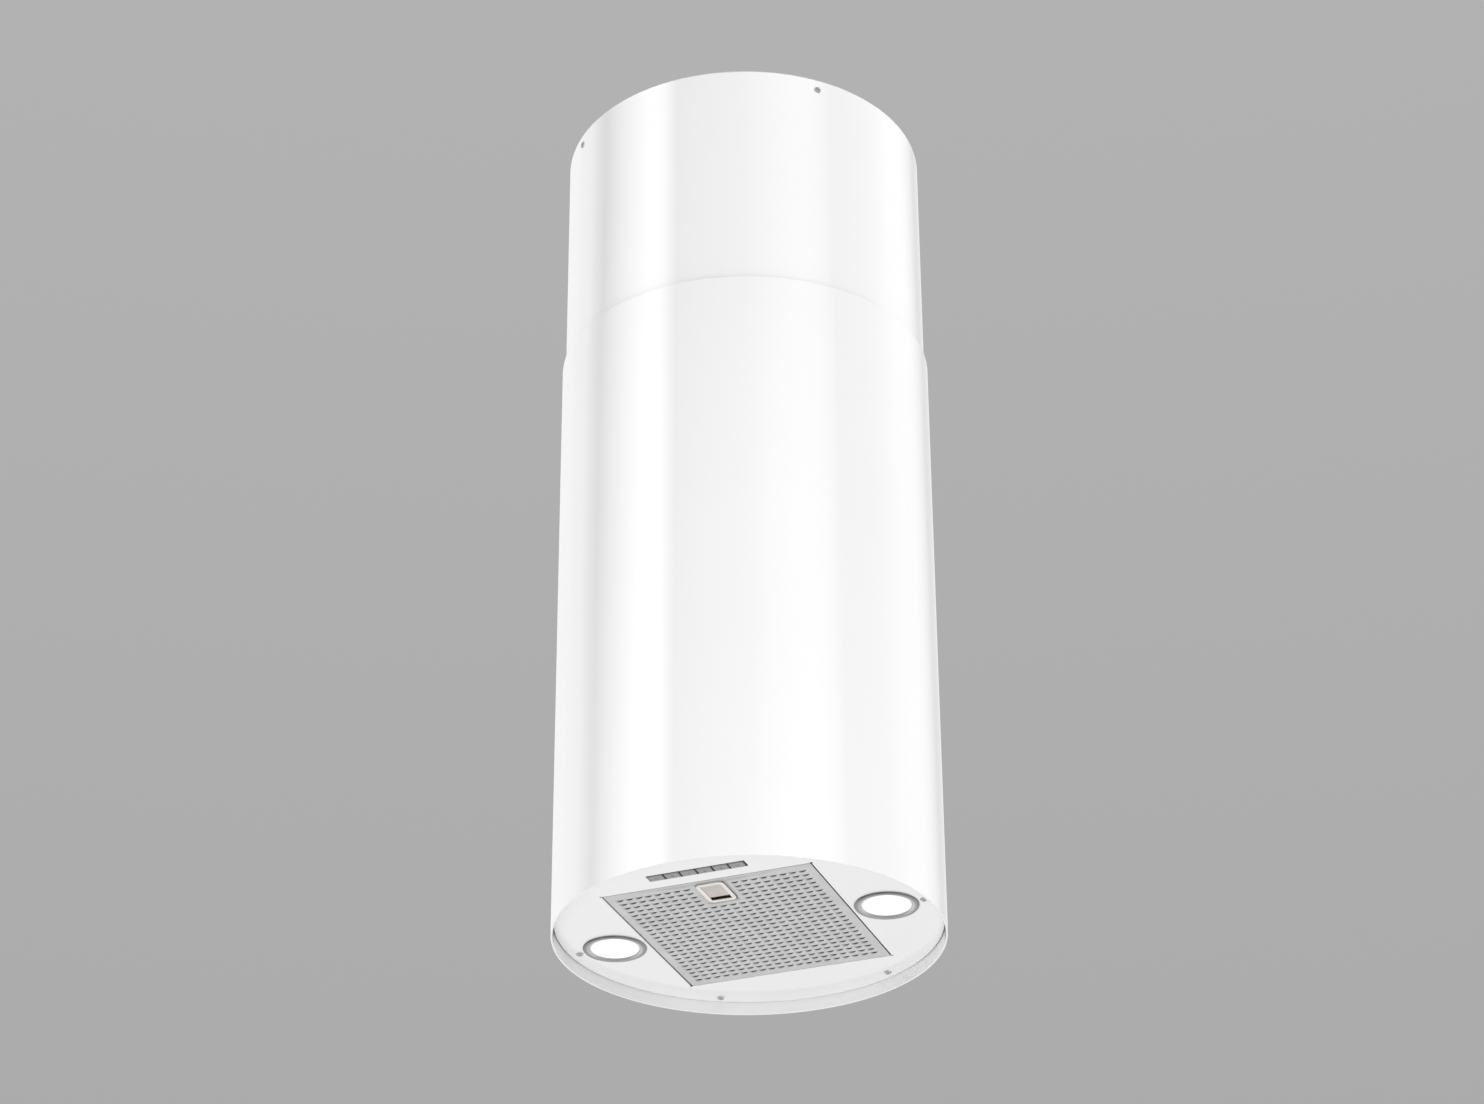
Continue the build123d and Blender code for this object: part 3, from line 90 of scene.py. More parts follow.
def ring_plan(radius, steps):
    """A circle as points and outward normals, each point once."""
    turns = np.linspace(0, 2 * np.pi, steps, endpoint=False)
    normals = np.stack([np.cos(turns), np.sin(turns)], axis=1)
    return radius * normals, normals


print("casing box", [np.round(corner / MM, 1).tolist() for corner in span("lower_casing")])

# %% [markdown]
# ## Profiles with bends
# A profile is the outline of a cut through a piece, given as a few corners. Bent sheet has no sharp
# corners, and a bend is what catches the light. A Bevel modifier could round the finished mesh. Rounding
# the profile first keeps the mesh a clean grid, and each corner can have its own radius.

# %% Profiles
GUARD = 1.3


def unit(vectors):
    """Vectors scaled to length one."""
    return vectors / np.linalg.norm(vectors, axis=-1, keepdims=True)


def soften(corners, radius, steps=4, closed=False):
    """A profile with its corners rounded.

    Each corner becomes a parabola (1-t)^2 A + 2t(1-t) P + t^2 B from A to B, both one radius away from
    the corner P. A guard point a little further out on each side keeps the long straight runs flat when
    they are shaded smooth.
    """
    corners = np.asarray(corners, float)
    before, corner, after = np.roll(corners, 1, axis=0), corners, np.roll(corners, -1, axis=0)
    if not closed:
        before, corner, after = corners[:-2], corners[1:-1], corners[2:]
    reach = np.broadcast_to(radius, len(corner))[:, None, None]
    back = unit(before - corner)[:, None]
    on = unit(after - corner)[:, None]
    t = np.linspace(0, 1, steps + 1)[None, :, None]
    bend = corner[:, None] + reach * ((1 - t) ** 2 * back + t**2 * on)
    guard = GUARD * reach
    rows = [corner[:, None] + guard * back, bend, corner[:, None] + guard * on]
    rows = np.concatenate(rows, axis=1).reshape(-1, 2)
    return rows if closed else np.concatenate([corners[:1], rows, corners[-1:]])


print("points of one rounded corner", len(soften([(0, 0), (1, 0), (1, 1)], 0.1)))

# %% [markdown]
# ## From profile to grid
# A profile carried round a plan gives a grid of points: one row for each profile point, one column for
# each plan point. Neighbouring rows and columns make quads. A lamp ring, a tube and a screw head are
# circles, a key is a rounded rectangle, and a plain bar is the shortest profile of all.

# %% Grids


def carry(plan, rows, centre=(0.0, 0.0)):
    """Rows (scale, out, z): the outline stands at scale * point + out * normal, at height z."""
    points, normals = plan
    scale, out, z = np.asarray(rows, float).T[:, :, None, None]
    flat = scale * points + out * normals + np.asarray(centre)
    return np.concatenate([flat, np.broadcast_to(z, flat.shape[:2] + (1,))], axis=2)


def turned(profile, steps, centre=(0.0, 0.0)):
    """A profile of (radius, z) rows turned about an upright axis: x = r cos, y = r sin."""
    profile = np.asarray(profile, float)
    return carry(ring_plan(1.0, steps), np.insert(profile, 1, 0.0, axis=1), centre)


def grid_faces(grid, close_rows=False):
    """Quads between neighbouring rows and columns of a grid; columns always close on themselves."""
    rows, columns = grid.shape[:2]
    row_numbers = np.arange(rows if close_rows else rows - 1)
    row, column = np.meshgrid(row_numbers, np.arange(columns), indexing="ij")
    next_row, next_column = (row + 1) % rows, (column + 1) % columns
    corners = [row * columns + column, row * columns + next_column]
    corners += [next_row * columns + next_column, next_row * columns + column]
    return np.stack(corners, axis=-1).reshape(-1, 4)


def skin(grid, close_rows=False):
    """A grid of points as a surface: its points in one list and its quads."""
    return grid.reshape(-1, 3), grid_faces(grid, close_rows)


def bar(x_range, y_range, z_range, corner):
    """A closed bar that fills three ranges, its upright edges rounded by a corner radius."""
    (left, right), (near, far), (low, high) = x_range, y_range, z_range
    plan = round_plan((right - left) / 2, (far - near) / 2, corner, 2)
    rows = [(0, 0, low), (1, 0, low), (1, 0, high), (0, 0, high)]
    return skin(carry(plan, rows, ((left + right) / 2, (near + far) / 2)))


print("quads of a bar", len(bar((0, 1), (0, 1), (0, 1), 0.1)[1]))

# %% [markdown]
# ## Flat sheet with openings
# The panel and the filter's border are flat, with holes cut through. A Boolean modifier could cut them.
# A mesh of a flat sheet only needs its outlines, though: a constrained Delaunay triangulation joins
# them, and the even-odd rule drops the triangles that lie in a hole.

# %% Flat regions
SNAP = 1e-7
LEVEL = 1e-9


def flat_region(loops, z):
    """Triangles inside the first outline and outside the rest.

    By the even-odd rule a triangle stays if a ray from its middle meets the outlines an odd number of
    times.
    """
    points = np.concatenate(loops)
    starts = np.cumsum([0] + [len(loop) for loop in loops[:-1]])
    hops = [np.arange(len(loop)) for loop in loops]
    pairs = [np.stack([hop, (hop + 1) % len(hop)], axis=1) for hop in hops]
    edges = np.concatenate([start + pair for start, pair in zip(starts, pairs)])
    found = delaunay_2d_cdt([Vector(point) for point in points], edges.tolist(), [], 0, SNAP)
    flat, triangles = np.array([point[:] for point in found[0]]), np.array(found[2])
    a, b = points[edges[:, 0]], points[edges[:, 1]]
    rising = np.abs(b[:, 1] - a[:, 1]) > LEVEL
    a, b = a[rising], b[rising]
    middle = flat[triangles].mean(axis=1)[:, None]
    straddles = (a[:, 1] > middle[..., 1]) != (b[:, 1] > middle[..., 1])
    meets = a[:, 0] + (middle[..., 1] - a[:, 1]) * (b[:, 0] - a[:, 0]) / (b[:, 1] - a[:, 1])
    inside = (straddles & (middle[..., 0] < meets)).sum(axis=1) % 2 == 1
    return np.insert(flat, 2, z, axis=1), triangles[inside]


def wall(loop, heights):
    """An upright strip along a closed outline: the outline repeated at each height."""
    grid = np.broadcast_to(loop, (len(heights), *loop.shape))
    z = np.broadcast_to(np.asarray(heights)[:, None, None], grid.shape[:2] + (1,))
    return np.concatenate([grid, z], axis=2)


trial = flat_region([ring_plan(2.0, 8)[0], ring_plan(1.0, 8)[0]], 0.0)
print("triangles of a flat washer with eight sides", len(trial[1]))

# %% [markdown]
# ## From surfaces to a piece
# Surfaces that share an edge are joined by welding points that fall together. That also closes the
# poles, where a whole row of a grid meets in one point. A closed piece has its faces turned outwards; an
# open sheet is turned to face a given way.

# %% Pieces
WELD = 2e-6


def piece(name, surfaces, body, look, nodes=(), sharp=35.0, facing=None):
    """Puts surfaces into one welded mesh that rides a body, takes a look and stands for CAD nodes."""
    starts = np.cumsum([0] + [len(points) for points, _ in surfaces])
    points = np.concatenate([points for points, _ in surfaces])
    corners = np.concatenate([(faces + start).ravel() for (_, faces), start in zip(surfaces, starts)])
    sizes = np.concatenate([np.full(len(faces), faces.shape[1]) for _, faces in surfaces])
    mesh = bpy.data.meshes.new(name)
    mesh.vertices.add(len(points))
    mesh.vertices.foreach_set("co", points.astype(np.float32).ravel())
    mesh.loops.add(len(corners))
    mesh.loops.foreach_set("vertex_index", corners.astype(np.int32))
    mesh.polygons.add(len(sizes))
    mesh.polygons.foreach_set("loop_start", (np.cumsum(sizes) - sizes).astype(np.int32))
    mesh.update(calc_edges=True)
    work = bmesh.new()
    work.from_mesh(mesh)
    bmesh.ops.remove_doubles(work, verts=work.verts, dist=WELD)
    bmesh.ops.dissolve_degenerate(work, edges=work.edges, dist=WELD / 4)
    bmesh.ops.recalc_face_normals(work, faces=work.faces)
    work.to_mesh(mesh)
    work.free()
    if facing is not None:
        normals = np.empty(3 * len(mesh.polygons), np.float32)
        mesh.polygons.foreach_get("normal", normals)
        if (normals.reshape(-1, 3) @ np.asarray(facing)).sum() < 0:
            mesh.flip_normals()
    mesh.shade_smooth()
    mesh.set_sharp_from_angle(angle=np.radians(sharp))
    made = bpy.data.objects.new(name, mesh)
    bpy.context.scene.collection.objects.link(made)
    mesh.materials.append(look)
    if nodes:
        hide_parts(*nodes)
    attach(made, body)
    print(name, "faces", len(mesh.polygons))
    return made


print("points closer than this many mm are welded", WELD / MM)

# %% [markdown]
# ## Finishes
# A finish is a Principled shader. What is the same all over sits on the shader's sockets. What changes
# over the surface comes from a pattern in the piece's own coordinates, which are metres, so a pattern's
# scale is a real size. An image texture would need a picture and unwrapping; these patterns need
# neither.

# %% Finish helpers


def finish(name, **sockets):
    """A new material; a key such as base_color sets the shader's socket of that name."""
    material = bpy.data.materials.new(name)
    material.use_nodes = True
    shader = material.node_tree.nodes["Principled BSDF"]
    titles = {socket.name.lower().replace(" ", "_"): socket for socket in shader.inputs}
    for key, value in sockets.items():
        titles[key].default_value = value
    return material


def pattern(material, kind, stretch=(1, 1, 1), **inputs):
    """A procedural pattern in the piece's own metres, each axis multiplied by stretch."""
    tree = material.node_tree
    place = tree.nodes.new("ShaderNodeTexCoord")
    grow = tree.nodes.new("ShaderNodeMapping")
    made = tree.nodes.new(kind)
    grow.inputs["Scale"].default_value = stretch
    tree.links.new(place.outputs["Object"], grow.inputs["Vector"])
    tree.links.new(grow.outputs["Vector"], made.inputs["Vector"])
    for key, value in inputs.items():
        made.inputs[key.title()].default_value = value
    return made


def noise(material, size, stretch=(1, 1, 1), detail=3.0):
    """Cloudy noise whose blotches are about one size across, in metres."""
    return pattern(material, "ShaderNodeTexNoise", stretch, scale=1 / size, detail=detail).outputs["Fac"]


def spread(material, source, socket, low, high, start=0.3, end=0.7):
    """Spreads a pattern from low to high on a number socket."""
    tree = material.node_tree
    between = tree.nodes.new("ShaderNodeMapRange")
    for key, value in {"From Min": start, "From Max": end, "To Min": low, "To Max": high}.items():
        between.inputs[key].default_value = value
    tree.links.new(source, between.inputs["Value"])
    tree.links.new(between.outputs["Result"], tree.nodes["Principled BSDF"].inputs[socket])


def tint(material, source, low, high, start=0.3, end=0.7):
    """Spreads a pattern between two base colours."""
    tree = material.node_tree
    ramp = tree.nodes.new("ShaderNodeValToRGB")
    first, last = ramp.color_ramp.elements
    first.position, last.position = start, end
    first.color, last.color = (*low, 1), (*high, 1)
    tree.links.new(source, ramp.inputs["Fac"])
    tree.links.new(ramp.outputs["Color"], tree.nodes["Principled BSDF"].inputs["Base Color"])


def relief(material, source, height):
    """Lets a pattern stand up from the surface by a height in metres."""
    tree = material.node_tree
    bump = tree.nodes.new("ShaderNodeBump")
    bump.inputs["Distance"].default_value = height
    tree.links.new(source, bump.inputs["Height"])
    tree.links.new(bump.outputs["Normal"], tree.nodes["Principled BSDF"].inputs["Normal"])


def attribute(material, name):
    """Reads a number that is stored on the mesh's points."""
    read = material.node_tree.nodes.new("ShaderNodeAttribute")
    read.attribute_name = name
    return read.outputs["Fac"]


def grey(value, warm=0.0):
    """A neutral colour, a little warmer or cooler."""
    return (value * (1 + warm), value, value * (1 - warm))


print("a warm grey", np.round(grey(0.5, 0.02), 3).tolist())

# %% [markdown]
# ## White gloss and filter metal
# The tube and panel are sheet steel with a sprayed gloss coat: a white base under a clear, almost smooth
# top, with the faint orange peel that spraying leaves, about three millimetres from crest to crest. The
# filter's sheet is pressed aluminium with the drawn lines of its rolling. Its frame and mesh are duller,
# as they leave the mill.

# %% Gloss and filter finishes
enamel = finish("white_enamel", coat_weight=1.0, coat_roughness=0.05, coat_ior=1.8, specular_ior_level=0.0)
tint(enamel, noise(enamel, 0.25), grey(0.85), grey(0.87))
spread(enamel, noise(enamel, 0.12), "Roughness", 0.28, 0.31)
relief(enamel, noise(enamel, 0.003, detail=0.0), 0.0008 * MM)

aluminium = finish("filter_aluminium", metallic=1.0)
rolled = noise(aluminium, 0.0006, stretch=(1.0, 0.02, 1.0), detail=2.0)
tint(aluminium, noise(aluminium, 0.03), grey(0.56), grey(0.62))
spread(aluminium, rolled, "Roughness", 0.34, 0.46)
relief(aluminium, rolled, 0.004 * MM)

mill = finish("filter_mill_finish", metallic=1.0)
tint(mill, noise(mill, 0.02), grey(0.56), grey(0.64))
spread(mill, noise(mill, 0.001), "Roughness", 0.48, 0.6)
relief(mill, noise(mill, 0.001), 0.004 * MM)
print("finishes", len(bpy.data.materials))

# %% [markdown]
# ## Key and latch finishes
# Keys and latch are satin mouldings with a fine grain that the spark-eroded mould leaves: the same noise
# drives roughness and relief, so the grain's crests are a little duller than its hollows. The strip
# round the keys is nearly black, and the latch's plate has a pale, half metallic lacquer.

# %% Key and latch finishes
key_grey = finish("button_grey", specular_ior_level=0.4)
grain = noise(key_grey, 0.0004, detail=1.0)
tint(key_grey, noise(key_grey, 0.004), grey(0.27), grey(0.31))
spread(key_grey, grain, "Roughness", 0.38, 0.5)
relief(key_grey, grain, 0.01 * MM)

surround = finish("button_surround", specular_ior_level=0.4)
grain = noise(surround, 0.0004, detail=1.0)
tint(surround, grain, grey(0.012), grey(0.02))
spread(surround, grain, "Roughness", 0.45, 0.6)
relief(surround, grain, 0.01 * MM)

print_grey = finish("button_marks")
tint(print_grey, noise(print_grey, 0.0005), grey(0.07), grey(0.1))
spread(print_grey, noise(print_grey, 0.001), "Roughness", 0.5, 0.65)

latch_plate = finish("latch_plate", metallic=0.5)
grain = noise(latch_plate, 0.0005, detail=1.0)
tint(latch_plate, noise(latch_plate, 0.006), (0.79, 0.75, 0.72), (0.83, 0.80, 0.77))
spread(latch_plate, grain, "Roughness", 0.38, 0.5)
relief(latch_plate, grain, 0.004 * MM)

beige = finish("latch_beige", specular_ior_level=0.4)
grain = noise(beige, 0.0005, detail=1.0)
tint(beige, noise(beige, 0.006), (0.52, 0.49, 0.44), (0.58, 0.55, 0.50))
spread(beige, grain, "Roughness", 0.36, 0.5)
relief(beige, grain, 0.008 * MM)
print("finishes", len(bpy.data.materials))

# %% [markdown]
# ## Ring and screw finishes
# The lamp rings are turned metal. Their tint is painted light and shade: lighter next to the lamp, as if
# lit by its glow, and darker outside as painted shade. The tint follows each point's distance from the
# lamp's middle, which is stored on the mesh. Screws are bright zinc, but those of the sleeve are painted
# a plain grey, so that they don't flash in the white tube.

# %% Ring and screw finishes
satin = finish("bezel_satin", metallic=1.0)
# painted light and shade: lighter next to the lamp as if lit by its glow, darker at the ring's outer edge
tint(satin, attribute(satin, "from_middle"), grey(0.62), grey(0.27), 0.79, 0.92)
spread(satin, noise(satin, 0.0006, detail=2.0), "Roughness", 0.3, 0.4)
relief(satin, noise(satin, 0.0006, detail=2.0), 0.003 * MM)

zinc = finish("zinc", metallic=1.0)
tint(zinc, noise(zinc, 0.002), grey(0.58), grey(0.68))
spread(zinc, noise(zinc, 0.0008), "Roughness", 0.26, 0.42)
relief(zinc, noise(zinc, 0.0005), 0.004 * MM)

screw_grey = finish("screw_grey", specular_ior_level=0.3)
tint(screw_grey, noise(screw_grey, 0.002), grey(0.36), grey(0.44))
spread(screw_grey, noise(screw_grey, 0.0008), "Roughness", 0.45, 0.55)
relief(screw_grey, noise(screw_grey, 0.0005), 0.004 * MM)
print("finishes", len(bpy.data.materials))

# %% [markdown]
# ## The tube
# The lower casing is one sheet rolled to a tube and welded, its ends folded inwards into a hem so that
# no raw edge shows. The upper sleeve slides inside it. Turning a rounded profile gives both, with enough
# steps round the circle that a straight lamp reflected in the gloss stays straight.

# %% Casing and sleeve
ROUND_STEPS = 384
SHEET = 1.0 * MM
HEM = 16.0 * MM
SLEEVE_BEND = 0.3 * MM

casing_low, casing_high = span("lower_casing")
casing_r, rim_z, casing_top = casing_high[0], casing_low[2], casing_high[2]
wall_r, hem_r = casing_r - SHEET, casing_r - 2 * SHEET
casing_corners = [(casing_r, rim_z), (casing_r, casing_top), (hem_r, casing_top), (hem_r, casing_top - HEM)]
casing_corners += [(wall_r, casing_top - HEM), (wall_r, rim_z + HEM), (hem_r, rim_z + HEM), (hem_r, rim_z)]
casing_bends = np.array([0.7, 0.76, 0.76, 0.3, 0.3, 0.3, 0.3, 0.7]) * MM
casing_profile = soften(casing_corners, casing_bends, closed=True)
piece("casing_shell", [skin(turned(casing_profile, ROUND_STEPS), True)], "hood", enamel, ["lower_casing"])

sleeve_low, sleeve_high = span("upper_sleeve")
sleeve_r, sleeve_bottom, sleeve_top = sleeve_high[0], sleeve_low[2], sleeve_high[2]
sleeve_corners = [(sleeve_r, sleeve_bottom), (sleeve_r, sleeve_top)]
sleeve_corners += [(sleeve_r - SHEET, sleeve_top), (sleeve_r - SHEET, sleeve_bottom)]
sleeve_profile = soften(sleeve_corners, SLEEVE_BEND, closed=True)
piece("sleeve_shell", [skin(turned(sleeve_profile, ROUND_STEPS), True)], "sleeve", enamel, ["upper_sleeve"])

# %% [markdown]
# ## The bottom panel
# A flat white sheet set a little way up inside the casing, its edge turned up into a skirt. It is cut
# for the filter, two lamps, the key strip and six screws. The corners of the filter opening have small
# round reliefs, which a bent sheet needs so that it doesn't tear, and which show as dark dots. Beside
# the filter the sheet is folded up into two upstands, made as plain bars.

# %% Panel
PANEL_BEND = 1.8 * MM
RELIEF_R, RELIEF_STEPS = 1.5 * MM, 13
SCREW_HOLE_R, SCREW_HOLE_STEPS = 2.2 * MM, 20
SCREW_INSET = 11.4 * MM
SCREW_COUNT = 6
LAMP_HOLE_R, LAMP_HOLE_STEPS = 28.0 * MM, 48
FILTER_GAP_X, FILTER_GAP_Y = 1.7 * MM, 0.8 * MM
STRIP_X, STRIP_Y = 50.0 * MM, 5.8 * MM
STRIP_GAP, STRIP_CORNER = 0.4 * MM, 0.6 * MM
UPSTAND = 6.0 * MM
BAR_CORNER = 0.2 * MM

panel_low, panel_high = span("bottom_panel")
panel_r, panel_z, skirt_top = panel_high[0], panel_low[2], panel_high[2]
panel_back = panel_z + SHEET
filter_low, filter_high = span("filter_face")
opening_x, opening_y = filter_high[0] + FILTER_GAP_X, filter_high[1] + FILTER_GAP_Y
lamp_x = np.mean([edge[0] for edge in span("lamp_right_lens")])
strip_low, strip_high = span("button_frame")
keys_y = (strip_low[1] + strip_high[1]) / 2
screw_turns = np.arange(SCREW_COUNT) * 2 * np.pi / SCREW_COUNT
screw_places = (panel_r - SCREW_INSET) * np.stack([np.cos(screw_turns), np.sin(screw_turns)], axis=1)


def relief_plan(half_x, half_y, radius, steps):
    """A rectangle whose corners are round bites: three quarters of a circle about each corner point."""
    turn = np.linspace(-np.pi / 2, np.pi, steps)
    turns = np.arange(4)[:, None] * np.pi / 2 + turn
    corners = np.array([(1, 1), (-1, 1), (-1, -1), (1, -1)])[:, None] * (half_x, half_y)
    return (corners + radius * np.stack([np.cos(turns), np.sin(turns)], axis=-1)).reshape(-1, 2)


holes = [relief_plan(opening_x, opening_y, RELIEF_R, RELIEF_STEPS)]
holes += [ring_plan(LAMP_HOLE_R, LAMP_HOLE_STEPS)[0] + (side * lamp_x, 0) for side in (-1, 1)]
holes += [round_plan(STRIP_X + STRIP_GAP, STRIP_Y + STRIP_GAP, STRIP_CORNER, 3)[0] + (0, keys_y)]
holes += [ring_plan(SCREW_HOLE_R, SCREW_HOLE_STEPS)[0] + place for place in screw_places]
panel_edge = ring_plan(panel_r - PANEL_BEND, ROUND_STEPS)[0]
skirt = [(panel_r - PANEL_BEND, panel_z), (panel_r, panel_z), (panel_r, skirt_top)]
skirt += [(panel_r - SHEET, skirt_top), (panel_r - SHEET, panel_back), (panel_r - PANEL_BEND, panel_back)]
skirt_bends = np.array([1.2, 0.3, 0.3, 0.5]) * MM
panel_skins = [flat_region([panel_edge, *holes], z) for z in (panel_z, panel_back)]
panel_skins += [skin(wall(hole, (panel_z, panel_back))) for hole in holes]
panel_skins += [skin(turned(soften(skirt, skirt_bends), ROUND_STEPS))]
piece("panel_shell", panel_skins, "hood", enamel, ["bottom_panel"])

upstand_y = np.array([-1, 1]) * (opening_y - RELIEF_R)
upstand_z = (panel_back, panel_back + UPSTAND)
upstand_sides = [(-opening_x - SHEET, -opening_x), (opening_x, opening_x + SHEET)]
upstands = [bar(side, upstand_y, upstand_z, BAR_CORNER) for side in upstand_sides]
piece("panel_upstands", upstands, "hood", enamel)

# %% [markdown]
# ## One louvre
# The grease filter's face is one aluminium sheet with hundreds of lanced louvres. The press cuts a
# half-moon on the side away from the front and pushes the tab inwards, so the fold is straight and the
# open mouth is a crescent. One cell is computed once: a tab as a half disc in polar steps that rises
# with its distance from the fold, and the flat metal round it out to the cell's edge.

# %% Louvre cell
LOUVRE_COLUMNS, LOUVRE_ROWS = 20, 23
LOUVRE_BORDER_X, LOUVRE_BORDER_Y = 7.5 * MM, 8.75 * MM
LOUVRE_HALF, LOUVRE_DEPTH, LOUVRE_RISE = 4.0 * MM, 4.8 * MM, 1.2 * MM
TAB_STEPS, TAB_REACH = 10, np.array([0, 0.5, 0.8, 1.0])
TAB_CURVE = 2.2
LOOP = TAB_STEPS + 2 * (len(TAB_REACH) - 1)

filter_x, filter_y, face_z = filter_high[0], filter_high[1], filter_low[2]
field_x, field_y = filter_x - LOUVRE_BORDER_X, filter_y - LOUVRE_BORDER_Y
pitch = np.array([2 * field_x / LOUVRE_COLUMNS, 2 * field_y / LOUVRE_ROWS])


def louvre_cell():
    """One cell about its own centre: the tab, and the flat metal from the mouth to the cell's edge.

    The tab is x = half * s cos(a), y = fold + depth * s sin(a), z = rise * (s sin(a))^curve for a from 0
    to pi and s from 0 to 1, so it leaves the fold flat and curls up towards its free edge. The flat loop
    is the same half-moon at z = 0, closed along the fold, and the cell's edge has as many points.
    """
    turn = np.linspace(0, np.pi, TAB_STEPS + 1)
    reach = TAB_REACH[:, None]
    away = reach * np.clip(np.sin(turn), 0, 1)
    tab_x = LOUVRE_HALF * reach * np.cos(turn)
    tab = np.stack([tab_x, LOUVRE_DEPTH * away, LOUVRE_RISE * away**TAB_CURVE], axis=-1)
    arc = np.stack([LOUVRE_HALF * np.cos(turn), LOUVRE_DEPTH * np.sin(turn)], axis=-1)
    fold = np.concatenate([-TAB_REACH[:0:-1], TAB_REACH])[1:-1]
    loop = np.concatenate([arc, np.stack([LOUVRE_HALF * fold, 0 * fold], axis=-1)])
    side = np.linspace(-0.5, 0.5, LOOP // 4 + 1)[:-1]
    edge = np.concatenate([np.stack([0 * side + 0.5, side], 1), np.stack([-side, 0 * side + 0.5], 1)])
    edge = np.roll(np.concatenate([edge, -edge]), -LOOP // 8, axis=0) * pitch
    lift = np.array([0, -LOUVRE_DEPTH / 2, 0])
    flat = np.pad(np.stack([loop + lift[:2], edge]), ((0, 0), (0, 0), (0, 1)))
    rows, columns = tab.shape[:2]
    first = (np.arange(rows - 1)[:, None] * columns + np.arange(columns - 1)).ravel()
    tab_faces = np.stack([first, first + 1, first + columns + 1, first + columns], axis=1)
    return [(tab.reshape(-1, 3) + lift, tab_faces), skin(flat)]


def repeat(surface, centres):
    """A surface copied to every centre: the centres are added to its points, its faces are renumbered."""
    points, faces = surface
    many = points[None] + centres[:, None]
    hops = np.arange(len(centres))[:, None, None] * len(points)
    return many.reshape(-1, 3), (faces[None] + hops).reshape(-1, faces.shape[1])


print("louvre pitch mm", np.round(pitch / MM, 3).tolist())

# %% [markdown]
# ## The filter's sheet
# The cells repeat over the sheet by adding their centres, except where the latch sits. An Array modifier
# could repeat them too, but it can't leave that gap. A flat border joins the field to the sheet's folded
# edge, and a Solidify modifier gives the sheet its thickness, so the mouths are truly open.

# %% Louvre sheet
LATCH_COLUMNS, LATCH_ROWS = 4, 5
RIM_BAND = 4.2 * MM
PLATE_LAP, LAP_CORNER = 0.4 * MM, 0.3 * MM
LATCH_SLIT = 0.5 * MM
FILTER_BEND, FOLD_RADIUS = 1.2 * MM, 0.8 * MM
FILTER_CORNER = 2.0 * MM
FILTER_SKIN = 0.5 * MM

latch_x, latch_y = LATCH_COLUMNS / 2 * pitch[0], -field_y + LATCH_ROWS * pitch[1]
column, row = np.meshgrid(np.arange(LOUVRE_COLUMNS), np.arange(LOUVRE_ROWS), indexing="ij")
centres = np.stack([column, row], axis=-1).reshape(-1, 2) * pitch + pitch / 2 - (field_x, field_y)
kept = (np.abs(centres[:, 0]) > latch_x) | (centres[:, 1] > latch_y)
centres = np.insert(centres[kept], 2, face_z, axis=1)
sheet_skins = [repeat(surface, centres) for surface in louvre_cell()]

corner_run = [(field_x, field_y), (-field_x, field_y), (-field_x, -field_y), (-latch_x, -field_y)]
corner_run += [(-latch_x, latch_y), (latch_x, latch_y), (latch_x, -field_y), (field_x, -field_y)]
corner_run = np.array(corner_run)
next_corner = np.roll(corner_run, -1, axis=0)
hops = np.abs(next_corner - corner_run) / (pitch / (LOOP // 4))
counts = np.round(hops.max(axis=1)).astype(int)
runs = [np.linspace(a, b, count, endpoint=False) for a, b, count in zip(corner_run, next_corner, counts)]
field_loop = np.concatenate(runs)

rim_low, rim_high = span("latch_cup")
pocket = (rim_high[:2] - rim_low[:2]) / 2 - RIM_BAND
pocket_middle = (rim_high[:2] + rim_low[:2]) / 2
cup_hole = round_plan(*(pocket + RIM_BAND - PLATE_LAP), LAP_CORNER, 2)[0] + pocket_middle
cup_hole[:, 0] += np.where(cup_hole[:, 0] > 0, LATCH_SLIT + PLATE_LAP, 0)

filter_plan = round_plan(filter_x, filter_y, FILTER_CORNER, 6)
filter_edge = filter_plan[0] - FILTER_BEND * filter_plan[1]
fold_rows = soften([(-FILTER_BEND, face_z), (0, face_z), (0, face_z + FILTER_BEND)], FOLD_RADIUS)
sheet_skins += [flat_region([filter_edge, field_loop, cup_hole], face_z)]
sheet_skins += [skin(carry(filter_plan, np.insert(fold_rows, 0, 1.0, axis=1)))]
down = (0, 0, -1)
louvres = piece("filter_louvres", sheet_skins, "filter", aluminium, ["filter_face"], sharp=40, facing=down)
thick = louvres.modifiers.new("sheet", "SOLIDIFY")
thick.thickness = FILTER_SKIN
thick.offset = -1.0
print("louvres", len(centres))

# %% [markdown]
# ## The filter's mesh pack
# Behind the louvres lies a pleated pack of aluminium mesh that catches the grease. It shows through the
# back of the filter when it hangs open. Strands cross in two directions and follow the pleats: a strand
# is a straight line in plan, and its height is the zigzag of the pleats at that depth. A Wireframe
# modifier on a pleated grid would look alike, but it would join the strands where they cross.

# %% Mesh pack
PLEAT_COUNT = 20
STRAND_STEP, STRAND_HALF, STRAND_THICK = 3.2 * MM, 0.22 * MM, 0.3 * MM
STRAND_SLOPE = 0.6
RIBBON_SHARE = 0.8
core_low, core_high = span("filter_core")
notch_x, notch_y = rim_high[0] - RIM_BAND, rim_high[1]


